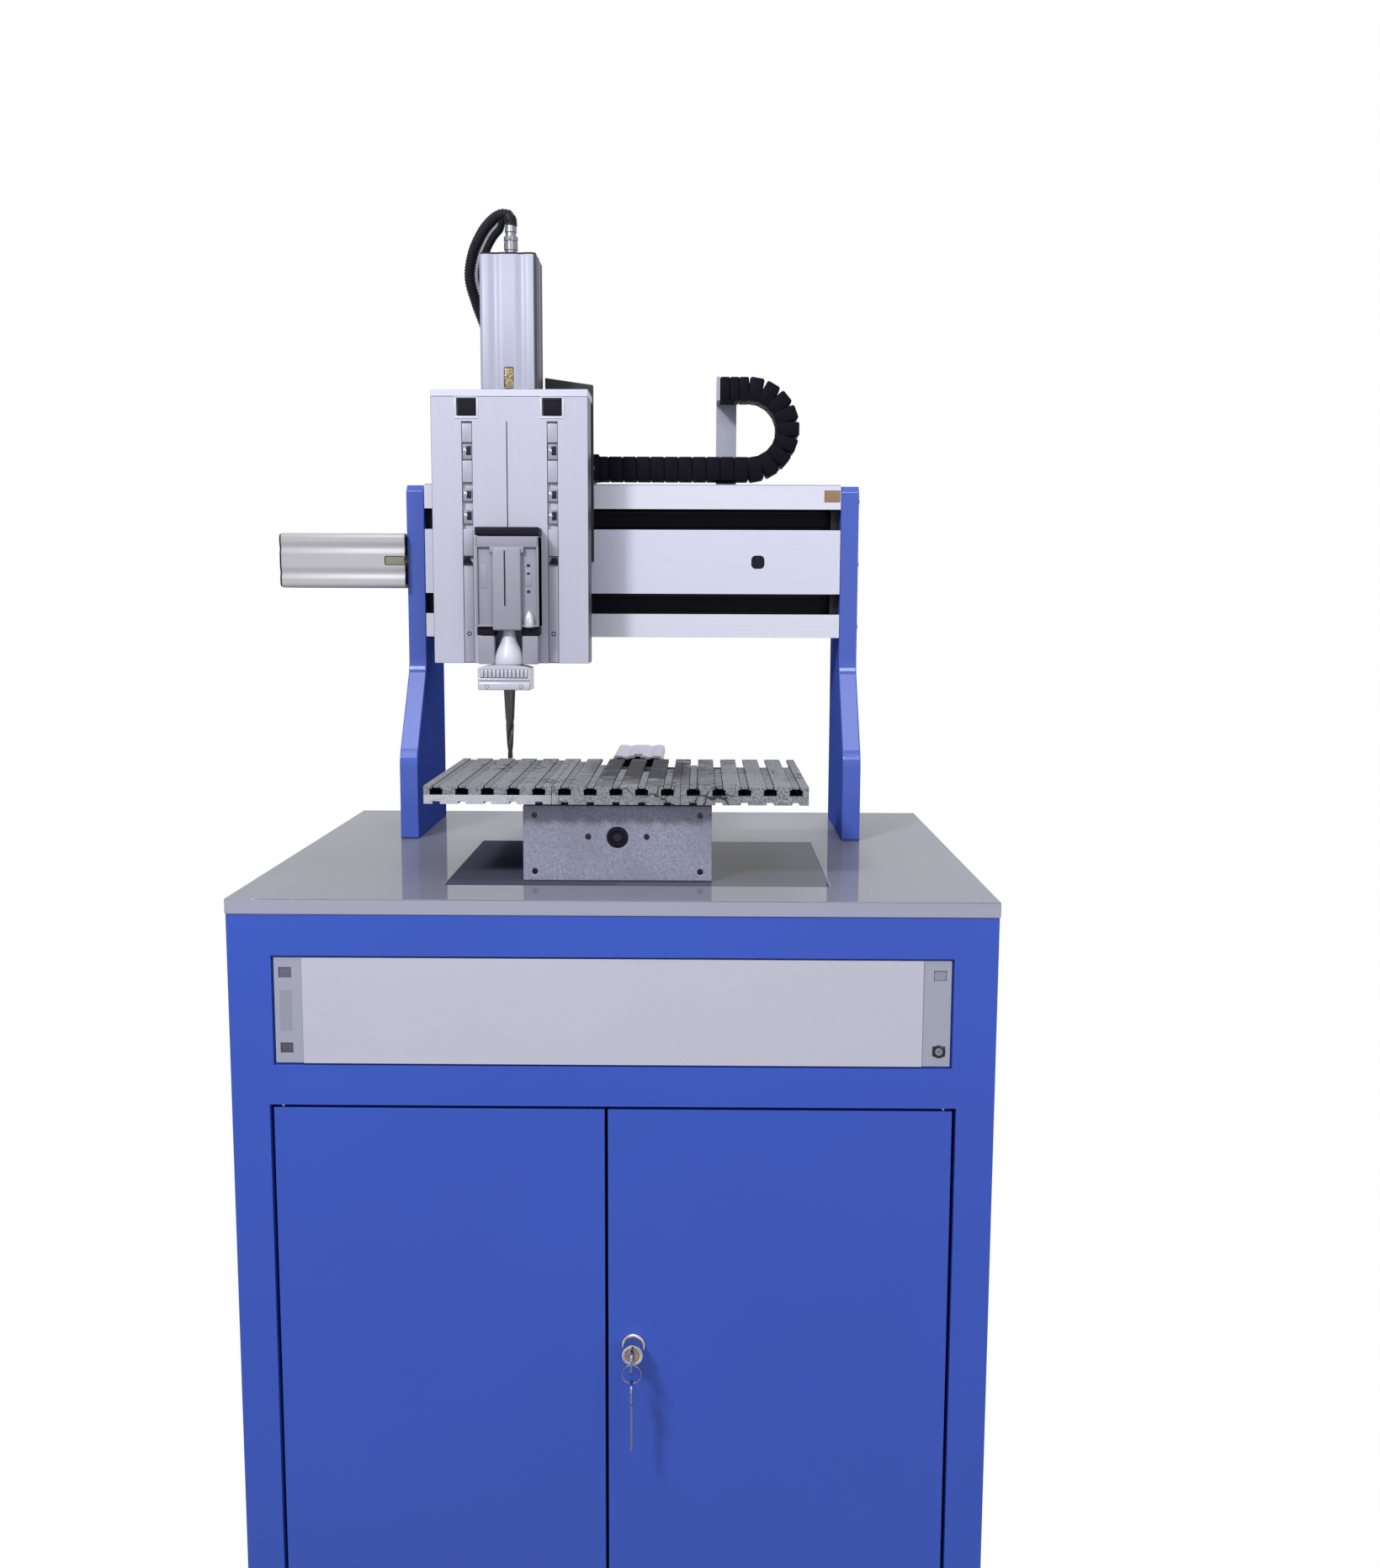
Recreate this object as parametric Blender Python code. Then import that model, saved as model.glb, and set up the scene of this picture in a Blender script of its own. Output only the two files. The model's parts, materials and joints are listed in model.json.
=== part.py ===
"""Bench-top CNC router with a moving table and a fixed gantry, on a two-door steel cabinet.

Run with: blender --background --python part.py
Units are metres and +Z is up. The origin is the middle of the cabinet's base, on the floor.
+X is the machine's right and +Y its back. Every object is one physical piece at rest: carriage at the
left end of the beam, table at the front, head down with the cutter's tip just over the table.
"""

import math

import bmesh
import bpy
from mathutils import Matrix, Vector

for old in list(bpy.data.objects):
    bpy.data.objects.remove(old, do_unlink=True)

# ---------------------------------------------------------------- driving dimensions
GAP = 0.0003  # between pieces that rest on each other
THROUGH = 0.010  # how far a cutter runs past the wall it goes through
NIP = 0.001  # how far a cutter runs past a wall where something stands close behind it
BUSH_CLEARANCE = 0.003  # round a screw where only its bearing shows

# cabinet
CABINET_WIDTH = 0.725
CABINET_DEPTH = 0.585
CABINET_HEIGHT = 0.740
WORKTOP_THICKNESS = 0.015
WORKTOP_OVERHANG = 0.001
SHEET = 0.002  # cabinet sheet metal
FRAME_DEPTH = 0.025  # folded frame round the front openings
STILE = 0.036
BOTTOM_RAIL = 0.0335
MIDDLE_RAIL = 0.0405  # frame between the controller's panel and the doors
DOOR_GAP = 0.0035
DOOR_SPLIT = 0.003
DOOR_SPLIT_X = -0.006  # the right door is the wider one
DOOR_THICKNESS = 0.020
DOOR_SKIN = 0.002
DOOR_RECESS = 0.0015
PIVOT_INSET = 0.008  # pivot axis from the door's edge
PIVOT_DEPTH = 0.005  # pivot axis behind the door's face
PIVOT_RADIUS = 0.0022
PIVOT_IN_RAIL = 0.012
PIVOT_IN_DOOR = 0.010

# controller in its rack opening
RACK_TOP_BELOW_WORKTOP = 0.0565
RACK_WIDTH = 0.637
RACK_HEIGHT = 0.102
RACK_THICKNESS = 0.003
RACK_GAP = 0.002
RACK_LEDGE = 0.019  # frame behind each end of the panel
LABEL_WIDTH = 0.584
LABEL_THICKNESS = 0.0008
RACK_SLOT = (0.012, 0.010)
RACK_SLOT_FROM_END = 0.0105
RACK_SLOT_FROM_EDGE = 0.0145
CASE_WIDTH = 0.430
CASE_DEPTH = 0.350
CASE_HEIGHT = 0.088
CASE_WALL = 0.0015

# lock and keys, on the right door
LOCK_FROM_EDGE = 0.0242
LOCK_HEIGHT = 0.302
LOCK_RADIUS = 0.010
LOCK_STAND_OUT = 0.022
LOCK_TAIL = 0.0185  # barrel behind the door's skin
PLUG_RADIUS = 0.0065
CAM = (0.014, 0.0025, 0.038)  # width, thickness, length
KEY_THICKNESS = 0.0022
KEY_BOW_RADIUS = 0.0115
KEY_HOLE_RADIUS = 0.0034
KEY_BLADE = (0.008, 0.017)  # height, length in the plug
RING_RADIUS = 0.009
RING_WIRE = 0.0009
SPARE_BLADE = (0.007, 0.045)

# one linear axis: a channel profile, two rails, a ball screw and a motor under a cover
PROFILE_WIDTH = 0.178
PROFILE_DEPTH = 0.062
CHANNEL_HALF = 0.0615
CHANNEL_WALL = 0.012  # left behind the channel
END_WEB = 0.010
END_WEB_SUNK = 0.022
RAIL_OFFSET = 0.050
RAIL_WIDTH = 0.015
RAIL_HEIGHT = 0.015
RUNNER_WIDTH = 0.021
RUNNER_CLEARANCE = 0.0004
RUNNER_LIFT = 0.003  # runner's feet above the channel's floor
SLIDER_WIDTH = 0.170
SLIDER_THICKNESS = 0.0157
SLIDER_GAP = 0.002
NUT_LENGTH = 0.040
NUT_HALF = 0.040
NUT_TOP = 0.005
SCREW_DEPTH = 0.018  # screw axis below the profile's open face
SCREW_RADIUS = 0.008
SCREW_CLEARANCE = 0.0005
COUPLING_RADIUS = 0.0105
COUPLING_LENGTH = 0.026
COVER_SIDE = 0.064
COVER_LENGTH = 0.148
COVER_WALL = 0.003
COVER_CORNER = 0.005
COVER_SLOT = (0.013, 0.026)
MOTOR_SIDE = 0.0565
MOTOR_LENGTH = 0.076
MOTOR_FROM_END = 0.030
MOTOR_SHAFT_RADIUS = 0.0032
SHAFT_GAP = 0.0012  # from the coupling to the motor's shaft
SCREW_END_GAP = 0.0015  # from the profile's end to a screw's free end

# Y axis, on the worktop, and the T-slot table
Y_FRONT_PLATE = (0.187, 0.012, 0.076)
Y_FRONT_FROM_EDGE = 0.096
Y_PROFILE_LENGTH = 0.4577
Y_SLIDER_LENGTH = 0.160
Y_SLIDER_START = 0.0107
Y_PLUG_RADIUS = 0.0105
TABLE_WIDTH = 0.375
TABLE_LENGTH = 0.250
TABLE_THICKNESS = 0.018
TABLE_FRONT_FROM_EDGE = 0.072
TABLE_PLANKS = 3
SLOTS_PER_PLANK = 5
SLOT_MOUTH = 0.008
SLOT_LIP = 0.003
SLOT_BELLY = 0.0125
SLOT_DEPTH = 0.009
FOOT_SLOT = (0.007, 0.0025)
BASE_SHEET_WIDTH = 0.377
BASE_SHEET_LENGTH = 0.269
BASE_SHEET_FROM_EDGE = 0.073
BASE_SHEET_SHIFT = 0.020
BASE_SHEET_THICKNESS = 0.0017

# gantry and X axis
PLATE_THICKNESS = 0.021
PLATE_INNER = 0.246
PLATE_FOOT_FROM_EDGE = 0.354
PLATE_FACE_FROM_EDGE = 0.424
PLATE_BACK_FROM_EDGE = 0.545
PLATE_HEIGHT = 0.411
PLATE_KNEE_LOW = 0.095
PLATE_KNEE_HIGH = 0.197
PLATE_KNEE_RADIUS = 0.040
PLATE_CHAMFER = 0.007
X_COVER_WIDTH = 0.075
X_COVER_THICKNESS = 0.003
X_SLIDER_LENGTH = 0.170
HEAD_X = -0.134

# Z axis and tool head
Z_WIDTH = 0.176
Z_DEPTH = 0.046
Z_BOTTOM = 0.205  # above the worktop
Z_LENGTH = 0.297
Z_TOP_PLATE = 0.008
Z_SLIDER_BOTTOM = 0.340
Z_SLIDER_LENGTH = 0.110
Z_SCREW_DEPTH = 0.013
Z_SCREW_RADIUS = 0.006
Z_SLOT = (0.012, 0.006)
Z_SLOT_OFFSET = 0.048
Z_SLOT_LENGTH = 0.270
Z_WINDOW = (0.022, 0.020, 0.005)
Z_WINDOW_FROM_TOP = 0.0012
CONNECTOR_RADIUS = 0.008
CONNECTOR_LENGTH = 0.034
HEAD_COVER = (0.070, 0.034, 0.100)
HEAD_COVER_BOTTOM = 0.247
HEAD_COVER_WALL = 0.0025
HEAD_SPINE = (0.032, 0.005)
SPINDLE_RADIUS = 0.0145
SPINDLE_TOP = 0.338
SHAFT_RADIUS = 0.004
SHAFT_TOP = 0.300
CLAMP = (0.060, 0.038, 0.028)
CLAMP_TO_LEFT = 0.004
TOOL_TOP_RADIUS = 0.0066
TOOL_TIP_RADIUS = 0.0027
TIP_ABOVE_TABLE = 0.0005

# energy chain on the beam and the motor lead to it
CHAIN_WIDTH = 0.040
CHAIN_HEIGHT = 0.0275
CHAIN_RADIUS = 0.0324  # inside of the bend
CHAIN_CLEAR_OF_BEAM = 0.0068
CHAIN_BEND_X = 0.1365
CHAIN_START_X = -0.062
CHAIN_END_X = 0.103
CHAIN_FROM_FACE = 0.010
TRAY_THICKNESS = 0.0015
ARM_THICKNESS = 0.003
ARM_LEFT = 0.0392  # arm to each side of the chain's end
ARM_RIGHT = 0.0168
ARM_LEFT_HEIGHT = 0.533  # above the worktop
ARM_RIGHT_HEIGHT = 0.525
BRACKET_WIDTH = 0.020
BRACKET_THICKNESS = 0.004
TRAY_MARGIN = 0.004  # tray beyond each side of the chain
LEAD_RADIUS = 0.0065
LEAD_GAP = 0.0009  # between each end of the lead and what it plugs into

# ---------------------------------------------------------------- places worked out from them
FRONT = -CABINET_DEPTH / 2
TOP = CABINET_HEIGHT
WORLD = Matrix.Identity(4)

rack_top = TOP - RACK_TOP_BELOW_WORKTOP
rack_bottom = rack_top - RACK_HEIGHT
door_opening_half = CABINET_WIDTH / 2 - WORKTOP_OVERHANG - STILE
door_opening_top = rack_bottom - MIDDLE_RAIL
door_low = BOTTOM_RAIL + DOOR_GAP
door_high = door_opening_top - DOOR_GAP
door_face = FRONT + WORKTOP_OVERHANG + DOOR_RECESS

beam_face = FRONT + PLATE_FACE_FROM_EDGE
beam_middle = TOP + PLATE_HEIGHT - PROFILE_WIDTH / 2
beam_top = TOP + PLATE_HEIGHT
slider_stack = SLIDER_GAP + SLIDER_THICKNESS
z_open_face = beam_face - 2 * slider_stack - GAP
z_front = z_open_face - Z_DEPTH
tool_y = z_front - HEAD_COVER[1] + HEAD_COVER_WALL + GAP + SPINDLE_RADIUS - HEAD_SPINE[1]
table_low = TOP + PROFILE_DEPTH + slider_stack + GAP
table_high = table_low + TABLE_THICKNESS
chain_low = beam_top + CHAIN_CLEAR_OF_BEAM
chain_front = beam_face + CHAIN_FROM_FACE


# ---------------------------------------------------------------- materials
def finish(name, colour, roughness, metallic=0.0):
    material = bpy.data.materials.new(name)
    material.use_nodes = True
    shader = material.node_tree.nodes["Principled BSDF"]
    shader.inputs["Base Color"].default_value = (*colour, 1)
    shader.inputs["Roughness"].default_value = roughness
    shader.inputs["Metallic"].default_value = metallic
    material.diffuse_color = (*colour, 1)
    return material


blue_paint = finish("blue_paint", (0.050, 0.095, 0.48), 0.35)
worktop_laminate = finish("worktop_laminate", (0.55, 0.55, 0.58), 0.12)
white_plate = finish("white_plate", (0.72, 0.72, 0.76), 0.4)
grey_panel = finish("grey_panel", (0.50, 0.50, 0.54), 0.45)
anodised = finish("anodised", (0.62, 0.62, 0.68), 0.38, 0.6)
cast_grey = finish("cast_grey", (0.30, 0.30, 0.32), 0.7, 0.4)
ground_steel = finish("ground_steel", (0.55, 0.55, 0.56), 0.25, 1.0)
dark_steel = finish("dark_steel", (0.10, 0.09, 0.09), 0.4, 0.8)
black_plastic = finish("black_plastic", (0.010, 0.009, 0.014), 0.45)
dark_gloss = finish("dark_gloss", (0.05, 0.05, 0.06), 0.08)
brass = finish("brass", (0.72, 0.52, 0.18), 0.3, 1.0)
chrome = finish("chrome", (0.80, 0.80, 0.82), 0.10, 1.0)


# ---------------------------------------------------------------- modelling helpers
def collection(name):
    made = bpy.data.collections.new(name)
    bpy.context.scene.collection.children.link(made)
    return made


parts = collection("cnc_router")
cutters = collection("cutters")


def add_object(name, mesh, matrix, material=None):
    """A piece of the machine, or with no material a helper that only cuts or adds to a piece."""
    made = bpy.data.objects.new(name, mesh)
    made.matrix_world = matrix
    if material:
        mesh.materials.append(material)
        parts.objects.link(made)
    else:
        made.hide_render = True
        made.display_type = "WIRE"
        cutters.objects.link(made)
    return made


def mesh_from(name, work, smooth=False):
    mesh = bpy.data.meshes.new(name)
    work.to_mesh(mesh)
    work.free()
    if smooth:
        mesh.shade_smooth()
        mesh.set_sharp_from_angle(angle=math.radians(35))
    return mesh


def block(name, low, high, material=None, frame=WORLD):
    """A box between two corners given in a frame."""
    low, high = Vector(low), Vector(high)
    work = bmesh.new()
    bmesh.ops.create_cube(work, size=1)
    bmesh.ops.scale(work, vec=high - low, verts=work.verts)
    middle = Matrix.Translation((low + high) / 2)
    return add_object(name, mesh_from(name, work), frame @ middle, material)


def rod(name, start, end, radius, material=None, frame=WORLD, end_radius=None, sides=24):
    """A round bar, or a cone, from one point to another."""
    start, end = Vector(start), Vector(end)
    along = end - start
    work = bmesh.new()
    bmesh.ops.create_cone(
        work,
        cap_ends=True,
        segments=sides,
        radius1=radius,
        radius2=radius if end_radius is None else end_radius,
        depth=along.length,
    )
    turn = along.to_track_quat("Z", "Y").to_matrix().to_4x4()
    middle = Matrix.Translation((start + end) / 2)
    return add_object(name, mesh_from(name, work, smooth=True), frame @ middle @ turn, material)


def ring(name, centre, radius, wire, material=None, frame=WORLD):
    """A round wire ring, in the frame's X-Y plane."""
    bpy.ops.mesh.primitive_torus_add(
        major_radius=radius, minor_radius=wire, major_segments=24, minor_segments=8
    )
    made = bpy.context.object
    mesh = made.data
    bpy.data.objects.remove(made)
    mesh.name = name
    mesh.shade_smooth()
    return add_object(name, mesh, frame @ Matrix.Translation(centre), material)


def plate(name, outline, thickness, frame, material=None):
    """A flat outline in the frame's X-Y plane, thickened to both sides of it by half each."""
    curve = bpy.data.curves.new(name, "CURVE")
    curve.dimensions = "2D"
    curve.fill_mode = "BOTH"
    curve.extrude = thickness / 2
    line = curve.splines.new("POLY")
    line.points.add(len(outline) - 1)
    for point, (x, y) in zip(line.points, outline):
        point.co = (x, y, 0, 1)
    line.use_cyclic_u = True
    drawn = bpy.data.objects.new(name, curve)
    bpy.context.scene.collection.objects.link(drawn)
    graph = bpy.context.evaluated_depsgraph_get()
    mesh = bpy.data.meshes.new_from_object(drawn.evaluated_get(graph))
    bpy.data.objects.remove(drawn)
    work = bmesh.new()
    work.from_mesh(mesh)
    bmesh.ops.remove_doubles(work, verts=work.verts, dist=0.00001)
    bmesh.ops.recalc_face_normals(work, faces=work.faces)
    bpy.data.meshes.remove(mesh)
    return add_object(name, mesh_from(name, work, smooth=True), frame, material)


def arc(centre, radius, start, end, steps=8):
    """Points along an arc, angles in degrees from the outline's X axis."""
    angles = [math.radians(start + (end - start) * i / steps) for i in range(steps + 1)]
    return [
        (centre[0] + radius * math.cos(angle), centre[1] + radius * math.sin(angle))
        for angle in angles
    ]


def rounded_corner(before, corner, after, radius, steps=6):
    """The corner of an outline as an arc that touches both of its edges."""
    before, corner, after = Vector(before), Vector(corner), Vector(after)
    back, on = (before - corner).normalized(), (after - corner).normalized()
    half = back.angle(on) / 2
    middle = corner + (back + on).normalized() * radius / math.sin(half)
    first = corner + back * radius / math.tan(half) - middle
    last = corner + on * radius / math.tan(half) - middle
    return [tuple(middle + first.slerp(last, i / steps) * radius) for i in range(steps + 1)]


def boolean(target, tool, operation):
    modifier = target.modifiers.new(tool.name, "BOOLEAN")
    modifier.operation = operation
    modifier.object = tool
    return target


def cut(target, *tools):
    for tool in tools:
        boolean(target, tool, "DIFFERENCE")
    return target


def add(target, *tools):
    for tool in tools:
        boolean(target, tool, "UNION")
    return target


def axis_frame(origin, across, along, inward):
    """A frame whose X runs across a profile, Y along its travel and Z into its open face."""
    turn = Matrix((across, along, inward)).transposed().to_4x4()
    return Matrix.Translation(origin) @ turn


def carry(name, place, *pieces):
    """An empty on a joint's axis that the pieces of one moving body hang from."""
    pivot = bpy.data.objects.new(name, None)
    pivot.location = place
    parts.objects.link(pivot)
    bpy.context.view_layer.update()
    for piece in pieces:
        piece.parent = pivot
        piece.matrix_parent_inverse = pivot.matrix_world.inverted()
    return pivot


# ---------------------------------------------------------------- cabinet
def cabinet_shell():
    """Folded steel body, open at the front for the controller and the two doors."""
    half = CABINET_WIDTH / 2 - WORKTOP_OVERHANG
    front = FRONT + WORKTOP_OVERHANG
    back = -FRONT - WORKTOP_OVERHANG
    high = TOP - WORKTOP_THICKNESS - GAP
    shell = block("cabinet_shell", (-half, front, 0), (half, back, high), blue_paint)
    inside = block(
        "cabinet_inside",
        (-half + SHEET, front + FRAME_DEPTH, SHEET),
        (half - SHEET, back - SHEET, high - SHEET),
    )
    doorway = block(
        "doorway",
        (-door_opening_half, front - THROUGH, BOTTOM_RAIL),
        (door_opening_half, front + FRAME_DEPTH + THROUGH, door_opening_top),
    )
    rack_half = RACK_WIDTH / 2 + RACK_GAP
    rack_seat = block(
        "rack_seat",
        (-rack_half, front - THROUGH, rack_bottom - RACK_GAP),
        (rack_half, front + SHEET + RACK_THICKNESS, rack_top + RACK_GAP),
    )
    ledge = RACK_WIDTH / 2 - RACK_LEDGE
    rack_way = block(
        "rack_way",
        (-ledge, front - THROUGH, rack_bottom + RACK_GAP),
        (ledge, front + FRAME_DEPTH + THROUGH, rack_top - RACK_GAP),
    )
    cut(shell, inside, doorway, rack_seat, rack_way)
    for side, edge in ((-1, "left"), (1, "right")):
        for end, low, high in (("low", -1, 0), ("high", 0, 1)):
            at = BOTTOM_RAIL if end == "low" else door_opening_top
            x, y = pivot_place(side)
            hole = rod(
                f"rail_hole_{edge}_{end}",
                (x, y, at + low * PIVOT_IN_RAIL - high * THROUGH),
                (x, y, at - low * THROUGH + high * PIVOT_IN_RAIL),
                PIVOT_RADIUS + GAP,
                sides=16,
            )
            cut(shell, hole)


def worktop():
    """Laminated top with a shallow pocket for the dark base sheet."""
    slab = block(
        "worktop",
        (-CABINET_WIDTH / 2, FRONT, TOP - WORKTOP_THICKNESS),
        (CABINET_WIDTH / 2, -FRONT, TOP),
        worktop_laminate,
    )
    low = (BASE_SHEET_SHIFT - BASE_SHEET_WIDTH / 2, FRONT + BASE_SHEET_FROM_EDGE)
    high = (BASE_SHEET_SHIFT + BASE_SHEET_WIDTH / 2, low[1] + BASE_SHEET_LENGTH)
    pocket = block(
        "sheet_pocket",
        (low[0] - GAP, low[1] - GAP, TOP - BASE_SHEET_THICKNESS - GAP),
        (high[0] + GAP, high[1] + GAP, TOP + THROUGH),
    )
    cut(slab, pocket)
    block("base_sheet", (*low, TOP - BASE_SHEET_THICKNESS), (*high, TOP), dark_gloss)


def controller():
    """Rack panel in its seat, the plain label plate on it, and the case behind."""
    front = FRONT + WORKTOP_OVERHANG + SHEET
    half = RACK_WIDTH / 2
    back = front + RACK_THICKNESS - GAP
    panel = block("rack_panel", (-half, front, rack_bottom), (half, back, rack_top), grey_panel)
    for side in (-1, 1):
        for end in (-1, 1):
            x = side * (half - RACK_SLOT_FROM_END)
            z = (rack_top + rack_bottom) / 2 + end * (RACK_HEIGHT / 2 - RACK_SLOT_FROM_EDGE)
            slot = block(
                f"rack_slot_{side}_{end}",
                (x - RACK_SLOT[0] / 2, front - THROUGH, z - RACK_SLOT[1] / 2),
                (x + RACK_SLOT[0] / 2, back + THROUGH, z + RACK_SLOT[1] / 2),
            )
            cut(panel, slot)
    block(
        "label_plate",
        (-LABEL_WIDTH / 2, front - GAP - LABEL_THICKNESS, rack_bottom),
        (LABEL_WIDTH / 2, front - GAP, rack_top),
        white_plate,
    )
    middle = (rack_top + rack_bottom) / 2
    low = Vector((-CASE_WIDTH / 2, back + GAP, middle - CASE_HEIGHT / 2))
    high = Vector((CASE_WIDTH / 2, back + GAP + CASE_DEPTH, middle + CASE_HEIGHT / 2))
    case = block("controller_case", low, high, grey_panel)
    wall = Vector((CASE_WALL, CASE_WALL, CASE_WALL))
    hollow = block("case_inside", low + wall, high - wall + Vector((0, THROUGH, 0)))
    cut(case, hollow)


def pivot_place(side):
    """Where a door's pivot axis stands; side is -1 for the left door."""
    edge = door_opening_half - DOOR_GAP
    return side * (edge - PIVOT_INSET), door_face + PIVOT_DEPTH


def door(side, edge):
    """Folded door pan, hollow at the back, with a hole for each pivot pin."""
    outer = side * (door_opening_half - DOOR_GAP)
    inner = DOOR_SPLIT_X + side * DOOR_SPLIT / 2
    low = Vector((min(outer, inner), door_face, door_low))
    high = Vector((max(outer, inner), door_face + DOOR_THICKNESS, door_high))
    pan = block(f"door_{edge}", low, high, blue_paint)
    skin = Vector((DOOR_SKIN, DOOR_SKIN, DOOR_SKIN))
    hollow = block(f"door_inside_{edge}", low + skin, high - skin + Vector((0, THROUGH, 0)))
    cut(pan, hollow)
    x, y = pivot_place(side)
    for end, z in (("low", door_low), ("high", door_high)):
        tall = Vector((0, 0, DOOR_SKIN + NIP))
        hole = rod(
            f"door_hole_{edge}_{end}",
            Vector((x, y, z)) - tall,
            Vector((x, y, z)) + tall,
            PIVOT_RADIUS + GAP,
            sides=16,
        )
        cut(pan, hole)
    rod(
        f"pivot_{edge}_low",
        (x, y, BOTTOM_RAIL - PIVOT_IN_RAIL + GAP),
        (x, y, door_low + PIVOT_IN_DOOR),
        PIVOT_RADIUS,
        ground_steel,
        sides=16,
    )
    rod(
        f"pivot_{edge}_high",
        (x, y, door_high - PIVOT_IN_DOOR),
        (x, y, door_opening_top + PIVOT_IN_RAIL - GAP),
        PIVOT_RADIUS,
        ground_steel,
        sides=16,
    )
    return pan


def lock(right_door):
    """Barrel through the door, the plug with its cam, the key in it and the key on the ring."""
    x = DOOR_SPLIT_X + DOOR_SPLIT / 2 + LOCK_FROM_EDGE
    z = LOCK_HEIGHT
    face = door_face - LOCK_STAND_OUT
    tail = door_face + DOOR_SKIN + LOCK_TAIL
    barrel_hole = rod(
        "barrel_hole",
        (x, door_face - THROUGH, z),
        (x, door_face + DOOR_SKIN + THROUGH / 2, z),
        LOCK_RADIUS + GAP,
    )
    cut(right_door, barrel_hole)
    barrel = rod("lock_barrel", (x, face, z), (x, tail, z), LOCK_RADIUS, chrome)
    plug_hole = rod(
        "plug_hole", (x, face - THROUGH, z), (x, tail + THROUGH, z), PLUG_RADIUS + GAP
    )
    cut(barrel, plug_hole)
    plug = rod("lock_plug", (x, face - GAP, z), (x, tail + CAM[1] / 2, z), PLUG_RADIUS, brass)
    cam = block(
        "cam_shape",
        (x - CAM[0] / 2, tail + GAP, z - CAM[0] / 2),
        (x + CAM[0] / 2, tail + GAP + CAM[1], z - CAM[0] / 2 + CAM[2]),
    )
    keyway = block(
        "keyway",
        (x - KEY_THICKNESS / 2 - GAP, face - THROUGH, z - KEY_BLADE[0] / 2 - GAP),
        (x + KEY_THICKNESS / 2 + GAP, face + KEY_BLADE[1] + GAP, z + KEY_BLADE[0] / 2 + GAP),
    )
    add(plug, cam)
    cut(plug, keyway)

    upright = axis_frame((x, 0, z), (0, 1, 0), (0, 0, 1), (1, 0, 0))
    bow_y = face - GAP - KEY_BOW_RADIUS
    key = plate("key", arc((bow_y, 0), KEY_BOW_RADIUS, 0, 345, 23), KEY_THICKNESS, upright, chrome)
    blade = block(
        "key_blade",
        (x - KEY_THICKNESS / 2, bow_y + KEY_BOW_RADIUS / 2, z - KEY_BLADE[0] / 2),
        (x + KEY_THICKNESS / 2, face + KEY_BLADE[1], z + KEY_BLADE[0] / 2),
    )
    eye_y = bow_y - KEY_BOW_RADIUS + 2 * KEY_HOLE_RADIUS
    eye = rod(
        "key_eye",
        (x - THROUGH / 2, eye_y, z),
        (x + THROUGH / 2, eye_y, z),
        KEY_HOLE_RADIUS,
        sides=16,
    )
    add(key, blade)
    cut(key, eye)

    facing = axis_frame((x, eye_y, z), (1, 0, 0), (0, 0, 1), (0, -1, 0))
    drop = RING_RADIUS + KEY_HOLE_RADIUS - 3 * RING_WIRE
    spare = ring("spare_key", (0, -drop, 0), RING_RADIUS, RING_WIRE, chrome, facing)
    bow_z = z - drop - RING_RADIUS - KEY_BOW_RADIUS + 2 * RING_WIRE
    hung = axis_frame((x, eye_y, 0), (0, 1, 0), (0, 0, 1), (1, 0, 0))
    bow = plate("spare_bow", arc((0, bow_z), KEY_BOW_RADIUS, 0, 345, 23), KEY_THICKNESS, hung)
    spare_blade = block(
        "spare_blade",
        (x - KEY_THICKNESS / 2, eye_y - SPARE_BLADE[0] / 2, bow_z - KEY_BOW_RADIUS - SPARE_BLADE[1]),
        (x + KEY_THICKNESS / 2, eye_y + SPARE_BLADE[0] / 2, bow_z - KEY_BOW_RADIUS / 2),
    )
    add(spare, bow, spare_blade)
    carry("key_swing_axis", (x, eye_y, z), spare)
    carry("lock_axis", (x, face, z), plug, key)
    return barrel


def cabinet():
    cabinet_shell()
    worktop()
    controller()
    left, right = door(-1, "left"), door(1, "right")
    barrel = lock(right)
    carry("left_hinge_axis", (*pivot_place(-1), door_low), left)
    carry("right_hinge_axis", (*pivot_place(1), door_low), right, barrel)


# ---------------------------------------------------------------- one linear axis
def profile(name, frame, width, depth, length, screw_depth, screw_radius, webs):
    """Channel extrusion. The webs at its ends are sunk, so that the rail grooves show full length."""
    body = block(name, (-width / 2, 0, 0), (width / 2, length, depth), anodised, frame)
    floor = depth - CHANNEL_WALL
    sunk = min(END_WEB_SUNK, floor / 2)
    start, end = (END_WEB if web else -THROUGH for web in webs)
    shallow = block(
        f"{name}_mouth",
        (-CHANNEL_HALF, -THROUGH, -THROUGH),
        (CHANNEL_HALF, length + THROUGH, sunk),
        frame=frame,
    )
    deep = block(
        f"{name}_channel",
        (-CHANNEL_HALF, start, -THROUGH),
        (CHANNEL_HALF, length - end, floor),
        frame=frame,
    )
    bore = rod(
        f"{name}_bore",
        (0, -THROUGH, screw_depth),
        (0, length + THROUGH, screw_depth),
        screw_radius + SCREW_CLEARANCE,
        frame=frame,
    )
    return cut(body, shallow, deep, bore)


def rails(names, frame, depth, length):
    """Two square rails on the floor of a channel, between its end webs."""
    floor = depth - CHANNEL_WALL - GAP
    return [
        block(
            name,
            (middle - RAIL_WIDTH / 2, END_WEB + GAP, floor - RAIL_HEIGHT),
            (middle + RAIL_WIDTH / 2, length - END_WEB - GAP, floor),
            ground_steel,
            frame,
        )
        for name, middle in zip(names, (-RAIL_OFFSET, RAIL_OFFSET))
    ]


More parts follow.
